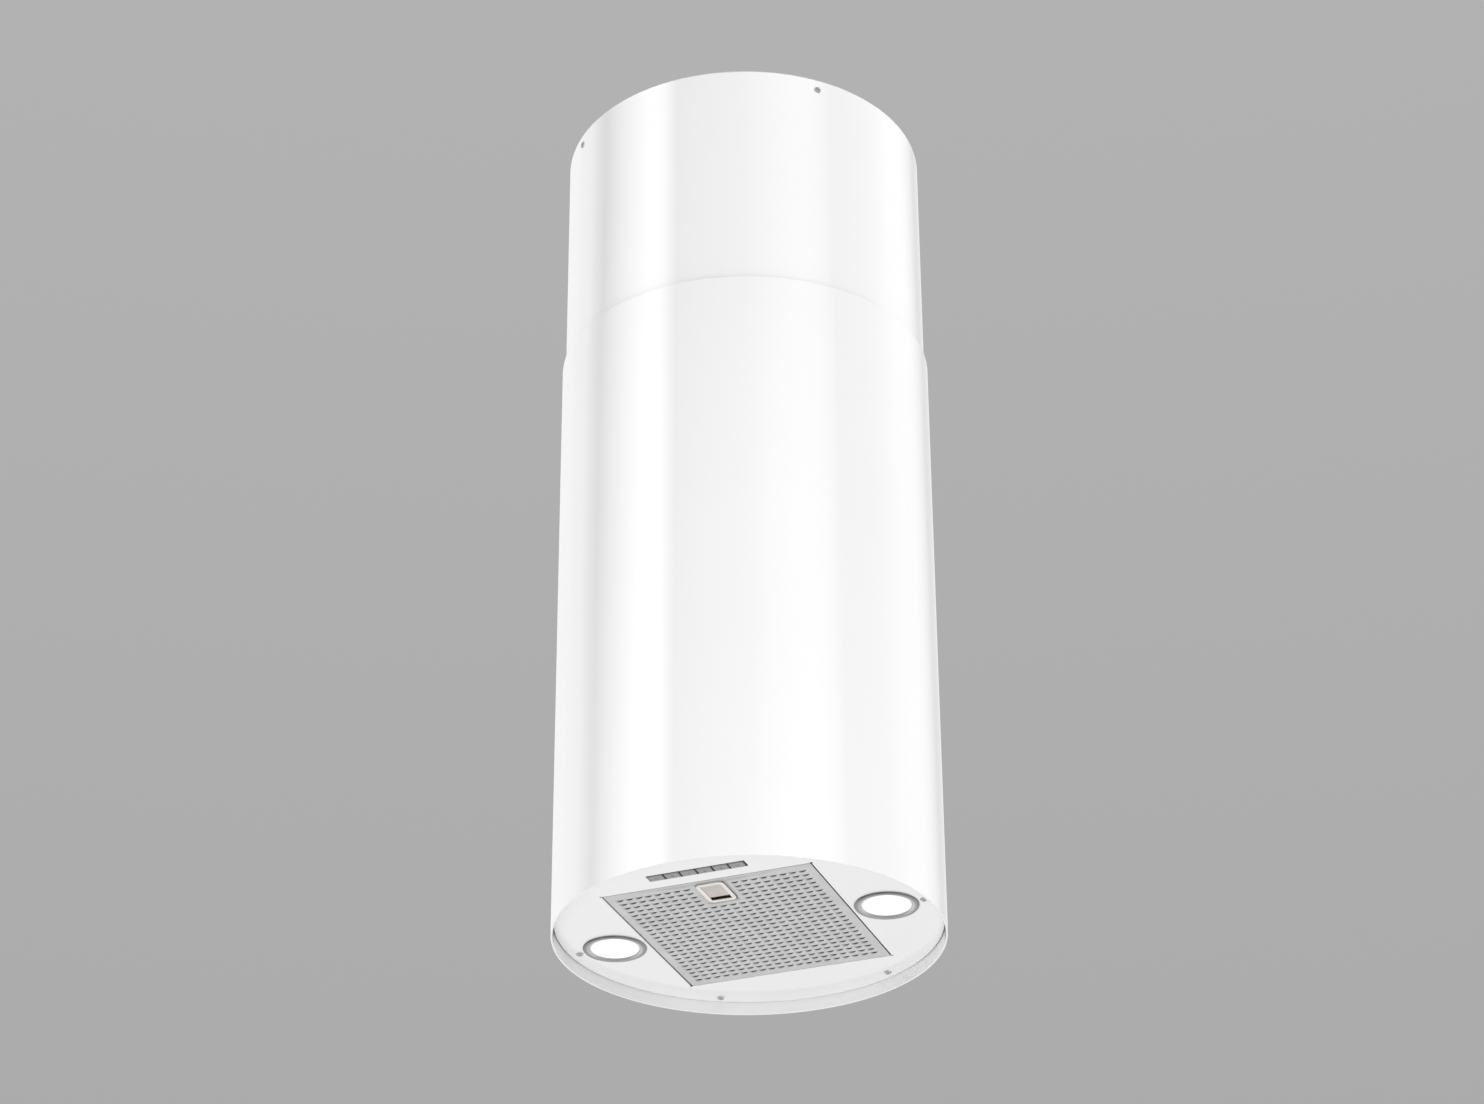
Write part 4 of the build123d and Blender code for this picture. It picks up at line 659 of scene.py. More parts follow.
def strands(slope, lift):
    """Ribbons that cross the pack, cut at its sides and round the latch.

    A ribbon's middle is x = start + slope * (y - front), and its height is z = zigzag(y) + lift.
    """
    fold = np.arange(2 * PLEAT_COUNT + 1)
    y = np.linspace(core_low[1], core_high[1], len(fold))
    z = np.where(fold % 2, core_high[2] - 2 * STRAND_THICK, core_low[2]) + lift
    run = slope * (y - core_low[1])
    starts = np.arange(core_low[0] - run.max(), core_high[0] - run.min(), STRAND_STEP)
    x = starts[:, None] + run
    sides = x[..., None] + STRAND_HALF * np.array([-1, 1])
    depth, height, _ = np.broadcast_arrays(y[None, :, None], z[None, :, None], sides)
    points = np.stack([sides, depth, height], axis=-1)
    count = len(fold)
    first = 2 * (np.arange(len(starts))[:, None] * count + np.arange(count - 1))
    quads = np.stack([first, first + 1, first + 3, first + 2], axis=-1)
    within = (sides.min(-1) > core_low[0]) & (sides.max(-1) < core_high[0])
    clear = (np.abs(x) > notch_x + 2 * STRAND_STEP) | (y > notch_y)
    kept = within & clear
    used, quads = np.unique(quads[kept[:, 1:] & kept[:, :-1]], return_inverse=True)
    return points.reshape(-1, 3)[used], quads.reshape(-1, 4)


mesh_skins = [strands(STRAND_SLOPE, 0.0), strands(-STRAND_SLOPE, STRAND_THICK)]
mesh_pack = piece("filter_mesh_pack", mesh_skins, "filter", mill, ["filter_core"], facing=(0, 0, 1))
ribbon = mesh_pack.modifiers.new("strand", "SOLIDIFY")
ribbon.thickness = STRAND_THICK * RIBBON_SHARE
ribbon.offset = -1.0

# %% [markdown]
# ## The latch's plate and tray
# A pressed plate stands a little proud of the filter round a dark moulded tray. The plate is a profile
# carried round the pocket's outline. The tray is six bars: a floor, three walls, and two stubs that
# leave a slot in the front wall for the latch's tongue.

# %% Latch plate and tray
PLATE_BEND = 0.35 * MM
PLATE_SINK = 0.3 * MM
POCKET_CORNER = 0.6 * MM
TRAY_WALL = 1.0 * MM
TONGUE_HALF, TONGUE_THICK, TONGUE_LIFT = 6.0 * MM, 1.5 * MM, 0.4 * MM
SLIDER_FIT = 0.3 * MM

pocket_z = rim_high[2] - TRAY_WALL
plate_z = rim_low[2]
plate_back = face_z + PLATE_SINK
plate_corners = [(0, plate_back), (0, plate_z), (RIM_BAND, plate_z), (RIM_BAND, plate_back)]
plate_rows = np.insert(soften(plate_corners, PLATE_BEND, closed=True), 0, 1.0, axis=1)
plate = skin(carry(round_plan(*pocket, POCKET_CORNER, 3), plate_rows, pocket_middle), True)
piece("latch_rim_plate", [plate], "filter", latch_plate, ["latch_cup"])

front, rear = pocket_middle[1] - pocket[1], pocket_middle[1] + pocket[1]
slot_half = TONGUE_HALF + SLIDER_FIT
tray_x = np.array([-1, 1]) * (pocket[0] + TRAY_WALL)
tray_y = (front - TRAY_WALL, rear + TRAY_WALL)
tray_z = (plate_back, pocket_z)
tray = [bar(tray_x, tray_y, (pocket_z, rim_high[2]), BAR_CORNER)]
tray += [bar((tray_x[0], -pocket[0]), tray_y, tray_z, BAR_CORNER)]
tray += [bar((pocket[0], tray_x[1]), tray_y, tray_z, BAR_CORNER)]
tray += [bar((-pocket[0], pocket[0]), (rear, tray_y[1]), tray_z, BAR_CORNER)]
tray += [bar((-pocket[0], -slot_half), (tray_y[0], front), tray_z, BAR_CORNER)]
tray += [bar((slot_half, pocket[0]), (tray_y[0], front), tray_z, BAR_CORNER)]
piece("latch_tray", tray, "filter", surround)

# %% [markdown]
# ## The latch's slider
# In the tray a dished slider is pulled back with a fingertip, and its tongue leaves the edge of the
# panel. The slider is a soft-edged block whose face sinks along a shallow trough. It thins towards its
# rear end, where a leaf spring lies above it. Sculpting could make the dish; a formula keeps it even.

# %% Latch slider
SLIDER_LENGTH = 26.5 * MM
SLIDER_INSET = 0.75 * MM
SLIDER_CORNER, SLIDER_BEND = 0.9 * MM, 0.5 * MM
SLIDER_TAPER = 0.82
DISH, DISH_RIM, DISH_ENDS, DISH_ROWS = 1.6 * MM, 2.2 * MM, 4.0, 24
FACE_TOLERANCE = 0.01 * MM
TONGUE_CORNER = 1.0 * MM

slider_low, slider_high = span("latch_slider")
slider_half = np.array([pocket[0] - SLIDER_FIT, SLIDER_LENGTH / 2])
slider_middle = np.array([0, rim_low[1] + RIM_BAND + SLIDER_FIT + slider_half[1]])
slider_z = slider_low[2]
slider_top = pocket_z - SLIDER_FIT
slider_plan = round_plan(*slider_half, SLIDER_CORNER, 4)
slider_edge = soften([(0, slider_top), (0, slider_z), (-SLIDER_INSET, slider_z)], SLIDER_BEND)
edge_rows = np.insert(slider_edge, 0, 1.0, axis=1)
inner_rows = [(scale, -SLIDER_INSET * scale, slider_z) for scale in np.linspace(1, 0, DISH_ROWS)[1:]]
slider_rows = np.concatenate([[(0, 0, slider_top)], edge_rows, inner_rows])
slider_grid = carry(slider_plan, slider_rows, slider_middle)
across = np.abs(slider_grid[..., 1] - slider_middle[1]) / (slider_half[1] - DISH_RIM)
along = np.abs(slider_grid[..., 0]) / (slider_half[0] - SLIDER_INSET)
trough = np.clip(1 - across**2, 0, 1) * np.clip(DISH_ENDS * (1 - along), 0, 1) ** 0.5
finger_face = slider_grid[..., 2] < slider_z + FACE_TOLERANCE
rearward = (slider_grid[..., 1] - slider_middle[1]) / slider_half[1] / 2 + 0.5
slider_grid[..., 2] -= SLIDER_TAPER * rearward * (slider_grid[..., 2] - slider_z)
slider_grid[..., 2] += DISH * trough * finger_face

tongue_x = np.array([-TONGUE_HALF, TONGUE_HALF])
tongue_y = np.array([slider_low[1], rim_low[1] + 2 * RIM_BAND])
tongue_z = panel_back + TONGUE_LIFT + np.array([0, TONGUE_THICK])
tongue = bar(tongue_x, tongue_y, tongue_z, TONGUE_CORNER)
piece("latch_pull", [skin(slider_grid), tongue], "latch", beige, ["latch_slider"], sharp=50)

# %% [markdown]
# ## Lamps
# Each lamp is a satin ring with a rolled lip round a frosted disc that glows evenly and fades at its
# rim. How far a point lies from the lamp's middle is stored on the mesh as an attribute, so both discs
# share one finish, and both rings too.

# %% Lamps
BEZEL_STEPS = 96
LENS_ROWS, LENS_CROWN, LENS_GAP = 12, 0.5 * MM, 0.2 * MM
RING_STEP, RING_SLOPE, RING_EDGE, RING_SEAT = 1.0 * MM, 2.0 * MM, 0.9 * MM, 0.5 * MM
RING_BENDS = np.array([0.2, 0.5, 0.5, 0.5, 0.2, 0.2, 0.2, 0.2]) * MM
NECK_GAP = 0.4 * MM
PRISM = 0.0012

glow = finish("lamp_diffuser", emission_color=(1.0, 0.98, 0.95, 1), roughness=0.4)
tint(glow, noise(glow, 0.001), grey(0.62), grey(0.66))
relief(glow, pattern(glow, "ShaderNodeTexVoronoi", scale=1 / PRISM).outputs["Distance"], 0.05 * MM)
spread(glow, attribute(glow, "from_middle"), "Emission Strength", 1.1, 0.0, 0.80, 1.0)


def mark_middle(made, middle, radius):
    """Stores each point's distance from an upright axis, as a share of a radius."""
    places = np.empty(3 * len(made.data.vertices), np.float32)
    made.data.vertices.foreach_get("co", places)
    apart = np.hypot(*(places.reshape(-1, 3)[:, :2] - middle).T) / radius
    stored = made.data.attributes.new("from_middle", "FLOAT", "POINT")
    stored.data.foreach_set("value", apart.astype(np.float32))


for side, sign in (("left", -1), ("right", 1)):
    bezel_low, bezel_high = span(f"lamp_{side}_bezel")
    lens_low, lens_high = span(f"lamp_{side}_lens")
    middle = (sign * lamp_x, 0.0)
    bezel_r, lens_r = (bezel_high[0] - bezel_low[0]) / 2, (lens_high[0] - lens_low[0]) / 2
    neck_r, bezel_z = LAMP_HOLE_R - NECK_GAP, bezel_low[2]
    bore_r = lens_r + LENS_GAP
    profile = [(bore_r, bezel_high[2]), (bore_r, bezel_z + RING_STEP), (bore_r + RING_SLOPE, bezel_z)]
    profile += [(bezel_r - RING_EDGE, bezel_z), (bezel_r, panel_z - RING_SEAT), (bezel_r, panel_z)]
    profile += [(neck_r, panel_z), (neck_r, bezel_high[2])]
    ring_rows = soften(profile, RING_BENDS, closed=True)
    ring_skin = skin(turned(ring_rows, BEZEL_STEPS, middle), True)
    ring = piece(f"lamp_{side}_ring", [ring_skin], "hood", satin, [f"lamp_{side}_bezel"])
    mark_middle(ring, middle, bezel_r)
    out = np.linspace(0, 1, LENS_ROWS)
    face = np.stack([lens_r * out, lens_low[2] + LENS_CROWN * out**2], axis=1)
    lens_skin = skin(turned([*face, (lens_r, lens_high[2]), (0, lens_high[2])], BEZEL_STEPS, middle))
    disc = piece(f"lamp_{side}_disc", [lens_skin], "hood", glow, [f"lamp_{side}_lens"])
    mark_middle(disc, middle, lens_r)

# %% [markdown]
# ## Signs for the keys
# The printed marks are plain: a lamp with rays, the figures 0 to 3 and a clock. Figures come from
# Blender's own font, turned into a mesh. Rings and strokes are small grids. All are flat meshes about
# their own middle, which stay sharp at any distance, where a printed image would blur.

# %% Key signs
MARK_HEIGHT, CAPITAL_SHARE = 4.2 * MM, 0.7
LINE = 0.28 * MM
BULB_R, BULB_LINE, BULB_STEPS = 0.9 * MM, 1.4 * LINE, 24
RAY_COUNT, RAY_NEAR, RAY_FAR = 8, 1.6 * MM, 2.2 * MM
CLOCK_R, CLOCK_STEPS, HAND_REACH = 1.7 * MM, 32, 1.2 * MM


def mark_mesh(sign):
    """A sign as a flat mesh about its own middle: letters from the built-in font, facing up."""
    curve = bpy.data.curves.new("mark", "FONT")
    curve.body, curve.size = sign, MARK_HEIGHT / CAPITAL_SHARE
    curve.align_x, curve.align_y = "CENTER", "CENTER"
    holder = bpy.data.objects.new("mark", curve)
    bpy.context.scene.collection.objects.link(holder)
    bpy.context.view_layer.update()
    flat = bpy.data.meshes.new_from_object(holder)
    bpy.data.objects.remove(holder)
    points = np.empty(3 * len(flat.vertices), np.float32)
    flat.vertices.foreach_get("co", points)
    flat.calc_loop_triangles()
    faces = np.empty(3 * len(flat.loop_triangles), np.int32)
    flat.loop_triangles.foreach_get("vertices", faces)
    points = points.reshape(-1, 3).astype(float)
    return points - (points.min(0) + points.max(0)) / 2, faces.reshape(-1, 3)


def band(inner, outer, steps):
    """A flat ring between two radii."""
    return skin(turned([(inner, 0.0), (outer, 0.0)], steps))


def strokes(count, near, far, half):
    """Short strokes round a circle: a bar from near to far, copied by turning."""
    turns = np.arange(count) * 2 * np.pi / count
    stroke = np.array([(near, -half), (far, -half), (far, half), (near, half)])
    turn = np.array([[np.cos(turns), -np.sin(turns)], [np.sin(turns), np.cos(turns)]])
    points = np.einsum("ijk,lj->kli", turn, stroke).reshape(-1, 2)
    return np.pad(points, ((0, 0), (0, 1))), np.arange(4 * count).reshape(-1, 4)


lamp_sign = [band(BULB_R, BULB_R + BULB_LINE, BULB_STEPS), strokes(RAY_COUNT, RAY_NEAR, RAY_FAR, LINE / 2)]
hands = strokes(4, 0.0, HAND_REACH, LINE / 2)
clock_sign = [band(CLOCK_R, CLOCK_R + LINE, CLOCK_STEPS), (hands[0][:8], hands[1][:2])]
signs = [lamp_sign, *[[mark_mesh(figure)] for figure in "0123"], clock_sign]
print("signs", len(signs))

# %% [markdown]
# ## Keys
# Six satin keys stand in a dark strip, with thin trim bars along both rims and at the left end. The grey
# bar at the left end is painted light, and the right end has none, so it stays near-black as painted shade.
# Each key is a rounded rectangle with soft edges and a flat top, and its sign lies a hair in front of that
# top, so that the two surfaces don't fight for the same place.

# %% Keys
KEY_COUNT, KEY_PITCH = 6, 16.5 * MM
KEY_HALF = np.array([14.5, 9.0]) / 2 * MM
KEY_CORNER, KEY_BEND, KEY_INSET = 1.0 * MM, 0.6 * MM, 0.85 * MM
MARK_LIFT = 0.03 * MM
TRIM_WIDTH, TRIM_LIFT, TRIM_CORNER = 1.0 * MM, 0.06 * MM, 0.3 * MM

trim_z = (strip_low[2] - TRIM_LIFT, panel_z)
key_row = (np.arange(KEY_COUNT) - (KEY_COUNT - 1) / 2) * KEY_PITCH
key_spans = key_row[:, None] + KEY_HALF[0] * np.array([-1, 1])
trim_rims = keys_y + STRIP_Y * np.array([-1, 1])
rim_spans = [(trim_rims[0], trim_rims[0] + TRIM_WIDTH), (trim_rims[1] - TRIM_WIDTH, trim_rims[1])]
trims = [bar(x_range, y_range, trim_z, TRIM_CORNER) for x_range in key_spans for y_range in rim_spans]
# painted light and shade: a grey bar at the left end only; the bare right end stays dark as painted shade
trims += [bar((-STRIP_X, TRIM_WIDTH - STRIP_X), trim_rims, trim_z, TRIM_CORNER)]
piece("strip_trim", trims, "hood", key_grey)

key_plan = round_plan(*KEY_HALF, KEY_CORNER, 5)
for number, sign in enumerate(signs, start=1):
    key_low, key_high = span(f"button_{number}")
    key_body = f"key_{number}"
    key_middle = np.array([key_row[number - 1], keys_y])
    key_z = key_low[2]
    side_rows = soften([(0, key_high[2]), (0, key_z), (-KEY_INSET, key_z)], KEY_BEND, steps=6)
    face_rows = [(scale, -KEY_INSET * scale, key_z) for scale in np.linspace(1, 0, 6)[1:]]
    key_rows = np.concatenate([[(0, 0, key_high[2])], np.insert(side_rows, 0, 1.0, axis=1), face_rows])
    cap = skin(carry(key_plan, key_rows, key_middle))
    piece(f"key_{number}_cap", [cap], key_body, key_grey, [f"button_{number}"])
    mark_place = (*key_middle, key_z - MARK_LIFT)
    laid = [(points * (1, -1, 1) + mark_place, faces) for points, faces in sign]
    piece(f"key_{number}_mark", laid, key_body, print_grey, facing=down)

# %% [markdown]
# ## Screws
# Pan heads with a cross recess hold the panel up and the sleeve to its ceiling plate. A head is a polar
# grid: a dome that falls off towards its edge, less a cross that is deepest in the middle. One screw is
# computed about its own axis and then set in place by turning that axis. Linked copies would do as well,
# but one mesh for each set keeps a set one piece.

# %% Screws
HEAD_R, PANEL_HEAD, SLEEVE_HEAD = 3.6 * MM, 2.0 * MM, 1.2 * MM
DOME_FALL, EDGE_FALL, EDGE_FROM, CROSS_TO = 0.22, 0.38, 0.7, 0.62
CROSS_HALF, CROSS_REACH, CROSS_DEPTH = 0.7 * MM, 2.3 * MM, 0.7
CROSS_SIDES, CROSS_ENDS = 2.5, 3.0
SHANK_R, SHANK_LENGTH = 2.0 * MM, 9.0 * MM
HEAD_STEPS = 64


def pan_screw(height):
    """A screw along +z with its seat at z = 0: dome, cross, edge, underside and shank as one turned grid.

    With s as the share of the head's radius, the dome is z = height * (1 - fall s^2 - edge fall e^3),
    where e grows from 0 to 1 over the head's outer part.
    """
    share = np.concatenate([np.linspace(0, CROSS_TO, 11), np.linspace(EDGE_FROM, 1, 7)])
    edge = np.clip((share - EDGE_FROM) / (1 - EDGE_FROM), 0, 1)
    dome = height * (1 - DOME_FALL * share**2 - EDGE_FALL * edge**3)
    shank = [(HEAD_R, 0), (SHANK_R, 0), (SHANK_R, -SHANK_LENGTH), (0, -SHANK_LENGTH)]
    profile = np.concatenate([np.stack([share * HEAD_R, dome], axis=1), shank])
    grid = turned(profile, HEAD_STEPS)
    x, y = np.abs(grid[..., 0]), np.abs(grid[..., 1])
    narrow, far = np.minimum(x, y), np.maximum(x, y)
    flanks = np.clip(CROSS_SIDES * (1 - narrow / CROSS_HALF), 0, 1)
    cross = flanks * np.clip(CROSS_ENDS * (1 - far / CROSS_REACH), 0, 1)
    head = (np.arange(len(profile)) < len(share))[:, None]
    grid[..., 2] -= CROSS_DEPTH * height * cross * head
    return skin(grid)


def set_screws(height, places, axes, spins):
    """The screw set at each place along each axis, spun about it by its own angle."""
    surface = pan_screw(height)
    made = []
    for place, axis, spin in zip(places, axes, spins):
        turn = Vector(axis).to_track_quat("Z", "Y").to_matrix() @ Matrix.Rotation(spin, 3, "Z")
        made.append((surface[0] @ np.array(turn).T + place, surface[1]))
    return made


spins = np.radians([12, 50, 31, 75, 20, 63])
panel_seats = np.insert(screw_places, 2, panel_z, axis=1)
panel_set = set_screws(PANEL_HEAD, panel_seats, [down] * SCREW_COUNT, spins)
piece("panel_screw_set", panel_set, "hood", zinc, ["panel_screws"])

screw_low, screw_high = span("sleeve_screws")
sleeve_turns = np.radians([45, 135, 225, 315])
sleeve_axes = np.stack([np.cos(sleeve_turns), np.sin(sleeve_turns), 0 * sleeve_turns], axis=1)
sleeve_seats = sleeve_axes * sleeve_r + (0, 0, (screw_low[2] + screw_high[2]) / 2)
sleeve_set = set_screws(SLEEVE_HEAD, sleeve_seats, sleeve_axes, spins)
piece("sleeve_screw_set", sleeve_set, "sleeve", screw_grey, ["sleeve_screws"])

# %% [markdown]
# ## Finishes of the parts inside
# Behind the panel are plain industrial parts. Hot-dip zinc freezes in crystals about a centimetre
# across, each a slightly different grey: the cells of a Voronoi pattern. Blower mouldings are dark
# polypropylene with a fine grain. They show when the filter hangs open and through the duct opening in
# the ceiling plate.

# %% Inner finishes
CRYSTAL = 0.011
galvanised = finish("galvanised", metallic=1.0)
crystals = pattern(galvanised, "ShaderNodeTexVoronoi", scale=1 / CRYSTAL).outputs["Color"]
tint(galvanised, crystals, (0.36, 0.37, 0.38), (0.43, 0.44, 0.45), 0.2, 0.8)
spread(galvanised, crystals, "Roughness", 0.5, 0.6, 0.2, 0.8)
relief(galvanised, noise(galvanised, 0.004), 0.01 * MM)


def moulding(name, low, high, rough, size=0.0005):
    """Moulded plastic: a slow drift of shade, a fine grain in roughness and relief."""
    made = finish(name, specular_ior_level=0.4)
    fine = noise(made, size, detail=1.0)
    tint(made, noise(made, 0.03), low, high)
    spread(made, fine, "Roughness", rough, rough + 0.15)
    relief(made, fine, 0.012 * MM)
    return made


def plate_metal(name, low, high, rough, stretch=(1, 1, 1)):
    """Bare metal with drawn or cast texture."""
    made = finish(name, metallic=1.0)
    fine = noise(made, 0.001, stretch)
    tint(made, noise(made, 0.02), low, high)
    spread(made, fine, "Roughness", rough, rough + 0.15)
    relief(made, fine, 0.008 * MM)
    return made


looks = {
    "white_enamel": enamel,
    "galvanised": galvanised,
    "zinc": zinc,
    "guide_pad": moulding("guide_pad", grey(0.80, 0.02), grey(0.86, 0.02), 0.5),
    "blower_plastic": moulding("blower_plastic", grey(0.17, -0.03), grey(0.21, -0.03), 0.42),
    "shaft_steel": plate_metal("shaft_steel", grey(0.55), grey(0.65), 0.2, (1.0, 0.02, 0.02)),
    "motor_case": moulding("motor_case", grey(0.18, -0.03), grey(0.22, -0.03), 0.32, 0.002),
    "control_plastic": moulding("control_plastic", grey(0.30), grey(0.34), 0.45),
    "capacitor_can": plate_metal("capacitor_can", grey(0.76), grey(0.82), 0.3, (1.0, 1.0, 0.05)),
    "button_grey": key_grey,
    "button_surround": surround,
    "filter_aluminium": aluminium,
    "latch_plate": latch_plate,
    "latch_beige": beige,
    "bezel_satin": satin,
    "lamp_diffuser": glow,
    "lamp_can": plate_metal("lamp_can", grey(0.45), grey(0.55), 0.35),
}
for node, thing in frame["nodes"].items():
    thing.data.materials.clear()
    thing.data.materials.append(mill if node in ("filter_frame", "filter_back") else looks[slots[node]])
print("looks", len(looks), "for nodes", len(frame["nodes"]))

# %% [markdown]
# ## Camera
# The camera stands below the hood and a little to its right, looking up with a long lens. Turn and reach
# give its place on the floor plan, a height puts it below the rim, and pitch, pan and roll aim the view.

# %% Camera
CAMERA_TURN, CAMERA_REACH, CAMERA_Z = np.radians(20.60), 3.296, -2.354
CAMERA_PITCH, CAMERA_PAN, CAMERA_ROLL = np.radians([29.64, -0.08, -0.38])
PICTURE_WIDTH, FOCAL_PIXELS, SENSOR = 1484, 3641, 36.0

sideways = np.array([np.cos(CAMERA_TURN), np.sin(CAMERA_TURN), 0])
ahead = np.array([-np.sin(CAMERA_TURN), np.cos(CAMERA_TURN), 0])
aim = np.cos(CAMERA_PITCH) * (np.sin(CAMERA_PAN) * sideways + np.cos(CAMERA_PAN) * ahead)
aim = aim + (0, 0, np.sin(CAMERA_PITCH))
level = np.cos(CAMERA_PAN) * sideways - np.sin(CAMERA_PAN) * ahead
upright = np.cross(level, aim)
right = np.cos(CAMERA_ROLL) * level + np.sin(CAMERA_ROLL) * upright
above = np.cos(CAMERA_ROLL) * upright - np.sin(CAMERA_ROLL) * level
camera_data = bpy.data.cameras.new("photo_camera")
camera_data.lens = SENSOR * FOCAL_PIXELS / PICTURE_WIDTH
camera_data.sensor_width = SENSOR
camera = bpy.data.objects.new("photo_camera", camera_data)
bpy.context.scene.collection.objects.link(camera)
camera_place = -CAMERA_REACH * ahead + (0, 0, CAMERA_Z)
columns = np.column_stack([right, above, -aim, camera_place])
camera.matrix_world = Matrix(np.vstack([columns, (0, 0, 0, 1)]).tolist())
bpy.context.scene.camera = camera
print("lens", round(camera_data.lens, 2))

# %% [markdown]
# ## Light cards
# Gloss white shows its surroundings, so tall glowing cards on a circle round the hood make the upright
# bands down the tube. They show in reflections only. A tube turns a small step round its side into twice
# that angle in the reflection, so each card has a list of angles from the camera and a shade for each.
# Area lights with a texture could stand there too; a mesh keeps the shades as plain numbers on its
# points.

# %% Cards
CARD_REACH, CARD_STEPS = 3.2, 48
CARD_HEIGHTS = np.array([-4.9, -1.8, -0.7, 0.4, 4.0, 9.0])
FADE_FRONT = np.array([0.22, 0.24, 0.52, 1.0, 1.0, 0.3])
FADE_BACK = np.array([1.0, 1.0, 0.95, 0.95, 0.95, 0.3])
BACK_FROM, BACK_FULL = 95.0, 165.0


def glow_card(name, angles, shades, strength):
    """An upright light card on a circle round the hood, with a glow for each angle and each height.

    Angles count from the camera, positive to its right; between the given ones the glow changes evenly.
    The fade with height is the front's, and goes over to the back's as 3 s^2 - 2 s^3 while the angle
    grows behind the hood.
    """
    turns = np.linspace(angles[0], angles[-1], CARD_STEPS + 1)
    behind = np.abs((turns + 180) % 360 - 180)
    s = np.clip((behind - BACK_FROM) / (BACK_FULL - BACK_FROM), 0, 1)
    blend = s * s * (3 - 2 * s)
    fade = FADE_FRONT[:, None] * (1 - blend) + FADE_BACK[:, None] * blend
    shade = fade * np.interp(turns, angles, shades)
    turns = np.radians(turns)
    plan = CARD_REACH * (np.sin(turns)[:, None] * sideways - np.cos(turns)[:, None] * ahead)
    points = plan[None] + np.pad(CARD_HEIGHTS[:, None, None], ((0, 0), (0, 0), (2, 0)))
    rows, columns = shade.shape
    first = (np.arange(rows - 1)[:, None] * columns + np.arange(columns - 1)).ravel()
    quads = np.stack([first, first + 1, first + columns + 1, first + columns], axis=1)
    mesh = bpy.data.meshes.new(name)
    mesh.from_pydata(points.reshape(-1, 3).tolist(), [], quads.tolist())
    values = shade.ravel().astype(np.float32)
    mesh.attributes.new("shade", "FLOAT", "POINT").data.foreach_set("value", values)
    look = bpy.data.materials.new(name)
    look.use_nodes = True
    tree = look.node_tree
    tree.nodes.clear()
    shown = tree.nodes.new("ShaderNodeOutputMaterial")
    light = tree.nodes.new("ShaderNodeEmission")
    grow = tree.nodes.new("ShaderNodeMapRange")
    grow.inputs["To Max"].default_value = strength
    tree.links.new(attribute(look, "shade"), grow.inputs["Value"])
    tree.links.new(grow.outputs["Result"], light.inputs["Strength"])
    tree.links.new(light.outputs["Emission"], shown.inputs["Surface"])
    mesh.materials.append(look)
    card = bpy.data.objects.new(name, mesh)
    bpy.context.scene.collection.objects.link(card)
    card.visible_camera = False
    card.visible_diffuse = False
    card.visible_shadow = False
    print(name, "from", angles[0], "to", angles[-1], "degrees")


left_turns = [-165, -137, -116, -100, -86, -63, -52, -42]
left_shades = [0.32, 0.44, 0.45, 0.15, 0.47, 0.97, 0.93, 0.39]
glow_card("card_left", left_turns, left_shades, strength=3.36)
middle_turns = [-42, 0, 16, 35, 46, 56]
middle_shades = [0.44, 0.65, 0.85, 1.0, 0.98, 0.84]
glow_card("card_middle", middle_turns, middle_shades, strength=3.32)
right_turns = [56, 90, 105, 122, 146, 160]
right_shades = [0.86, 0.97, 1.0, 0.84, 0.36, 0.34]
glow_card("card_right", right_turns, right_shades, strength=2.95)
glow_card("card_back", [160, 195], [0.95, 1.0], strength=1.075)

# %% [markdown]
# ## Fill light and floor
# The panel faces down, so a broad round light in front of the hood and below it lifts the panel and the
# filter. The light itself is hidden from the camera and from reflections. A pale grey floor far below
# sends some of the light back up.

# %% Fill light and floor
FILL_SIZE, FILL_POWER, FILL_PLACE = 5.0, 73.0, (0.2, -1.6, -3.3)
FLOOR_Z, FLOOR_HALF = -5.0, 40.0

fill_data = bpy.data.lights.new("fill_from_below", "AREA")
fill_data.shape, fill_data.size, fill_data.energy = "DISK", FILL_SIZE, FILL_POWER
fill = bpy.data.objects.new("fill_from_below", fill_data)
fill.location = FILL_PLACE
fill.rotation_euler = (Vector((0, 0, rim_z)) - fill.location).to_track_quat("-Z", "Y").to_euler()
fill.visible_camera = False
fill.visible_glossy = False
bpy.context.scene.collection.objects.link(fill)

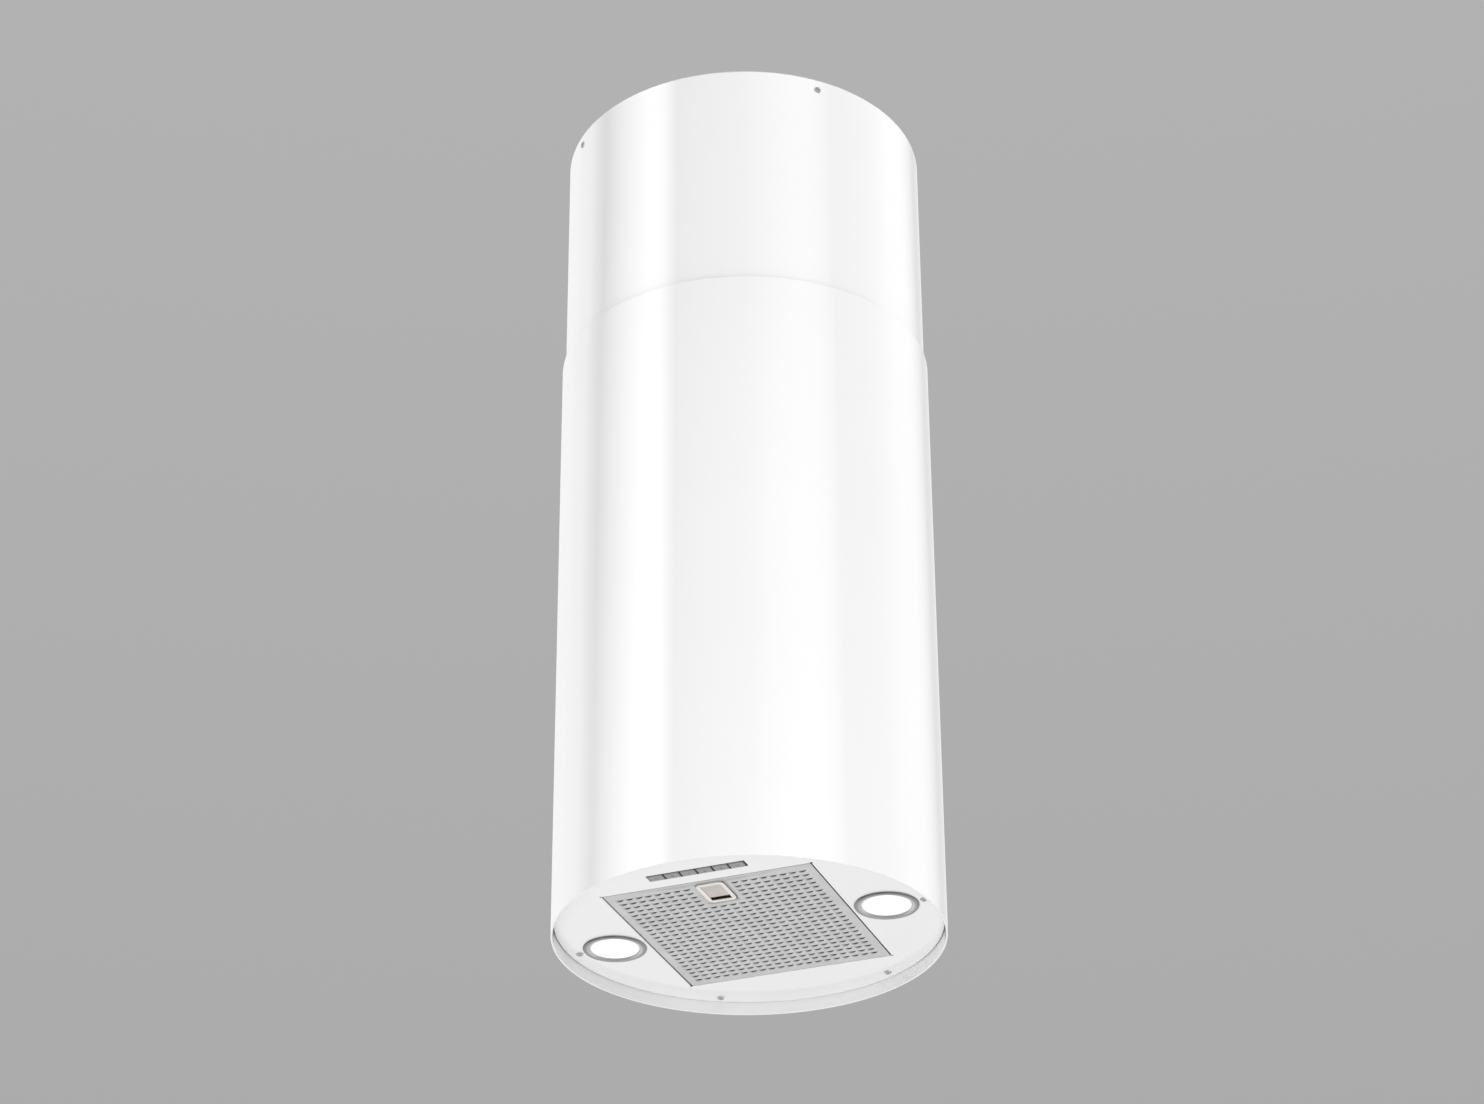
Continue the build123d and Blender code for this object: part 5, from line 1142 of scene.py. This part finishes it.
floor_mesh = bpy.data.meshes.new("floor")
floor_plan = FLOOR_HALF * np.array([(-1, -1, 0), (1, -1, 0), (1, 1, 0), (-1, 1, 0)]) + (0, 0, FLOOR_Z)
floor_mesh.from_pydata(floor_plan.tolist(), [], [(0, 1, 2, 3)])
floor_look = finish("floor", roughness=0.8, specular_ior_level=0.2)
tint(floor_look, noise(floor_look, 1.5), grey(0.63, 0.005), grey(0.65, 0.005))
floor_mesh.materials.append(floor_look)
floor = bpy.data.objects.new("floor", floor_mesh)
bpy.context.scene.collection.objects.link(floor)
print("fill W", FILL_POWER, "floor z", FLOOR_Z)

# %% [markdown]
# ## World
# The world is the even light of a large white room, a little stronger from the front. The camera itself
# sees a plain grey backdrop that lightens upwards, so the white tube stands out. A Light Path node
# chooses between them.

# %% World
ROOM_FRONT, ROOM_BACK = 0.92, 0.62
BACKDROP_LOW, BACKDROP_HIGH = 0.36, 0.50

world = bpy.data.worlds.new("studio")
bpy.context.scene.world = world
world.use_nodes = True
tree = world.node_tree
tree.nodes.clear()
shown = tree.nodes.new("ShaderNodeOutputWorld")
choose = tree.nodes.new("ShaderNodeMixShader")
ray = tree.nodes.new("ShaderNodeLightPath")
lighting = tree.nodes.new("ShaderNodeBackground")
backdrop = tree.nodes.new("ShaderNodeBackground")
place = tree.nodes.new("ShaderNodeTexCoord")
parts = tree.nodes.new("ShaderNodeSeparateXYZ")
depth = tree.nodes.new("ShaderNodeValToRGB")
height = tree.nodes.new("ShaderNodeValToRGB")
turn_about = tree.nodes.new("ShaderNodeMapRange")
turn_about.inputs["From Min"].default_value = -1.0
for ramp, low, high in ((depth, ROOM_FRONT, ROOM_BACK), (height, BACKDROP_LOW, BACKDROP_HIGH)):
    ramp.color_ramp.elements[0].color = (*grey(low), 1)
    ramp.color_ramp.elements[1].color = (*grey(high), 1)
tree.links.new(place.outputs["Generated"], parts.inputs["Vector"])
tree.links.new(parts.outputs["Y"], turn_about.inputs["Value"])
tree.links.new(turn_about.outputs["Result"], depth.inputs["Fac"])
tree.links.new(parts.outputs["Z"], height.inputs["Fac"])
tree.links.new(depth.outputs["Color"], lighting.inputs["Color"])
tree.links.new(height.outputs["Color"], backdrop.inputs["Color"])
tree.links.new(ray.outputs["Is Camera Ray"], choose.inputs["Fac"])
tree.links.new(lighting.outputs["Background"], choose.inputs[1])
tree.links.new(backdrop.outputs["Background"], choose.inputs[2])
tree.links.new(choose.outputs["Shader"], shown.inputs["Surface"])
bpy.context.scene.view_settings.view_transform = "Standard"
print("world nodes", len(tree.nodes))
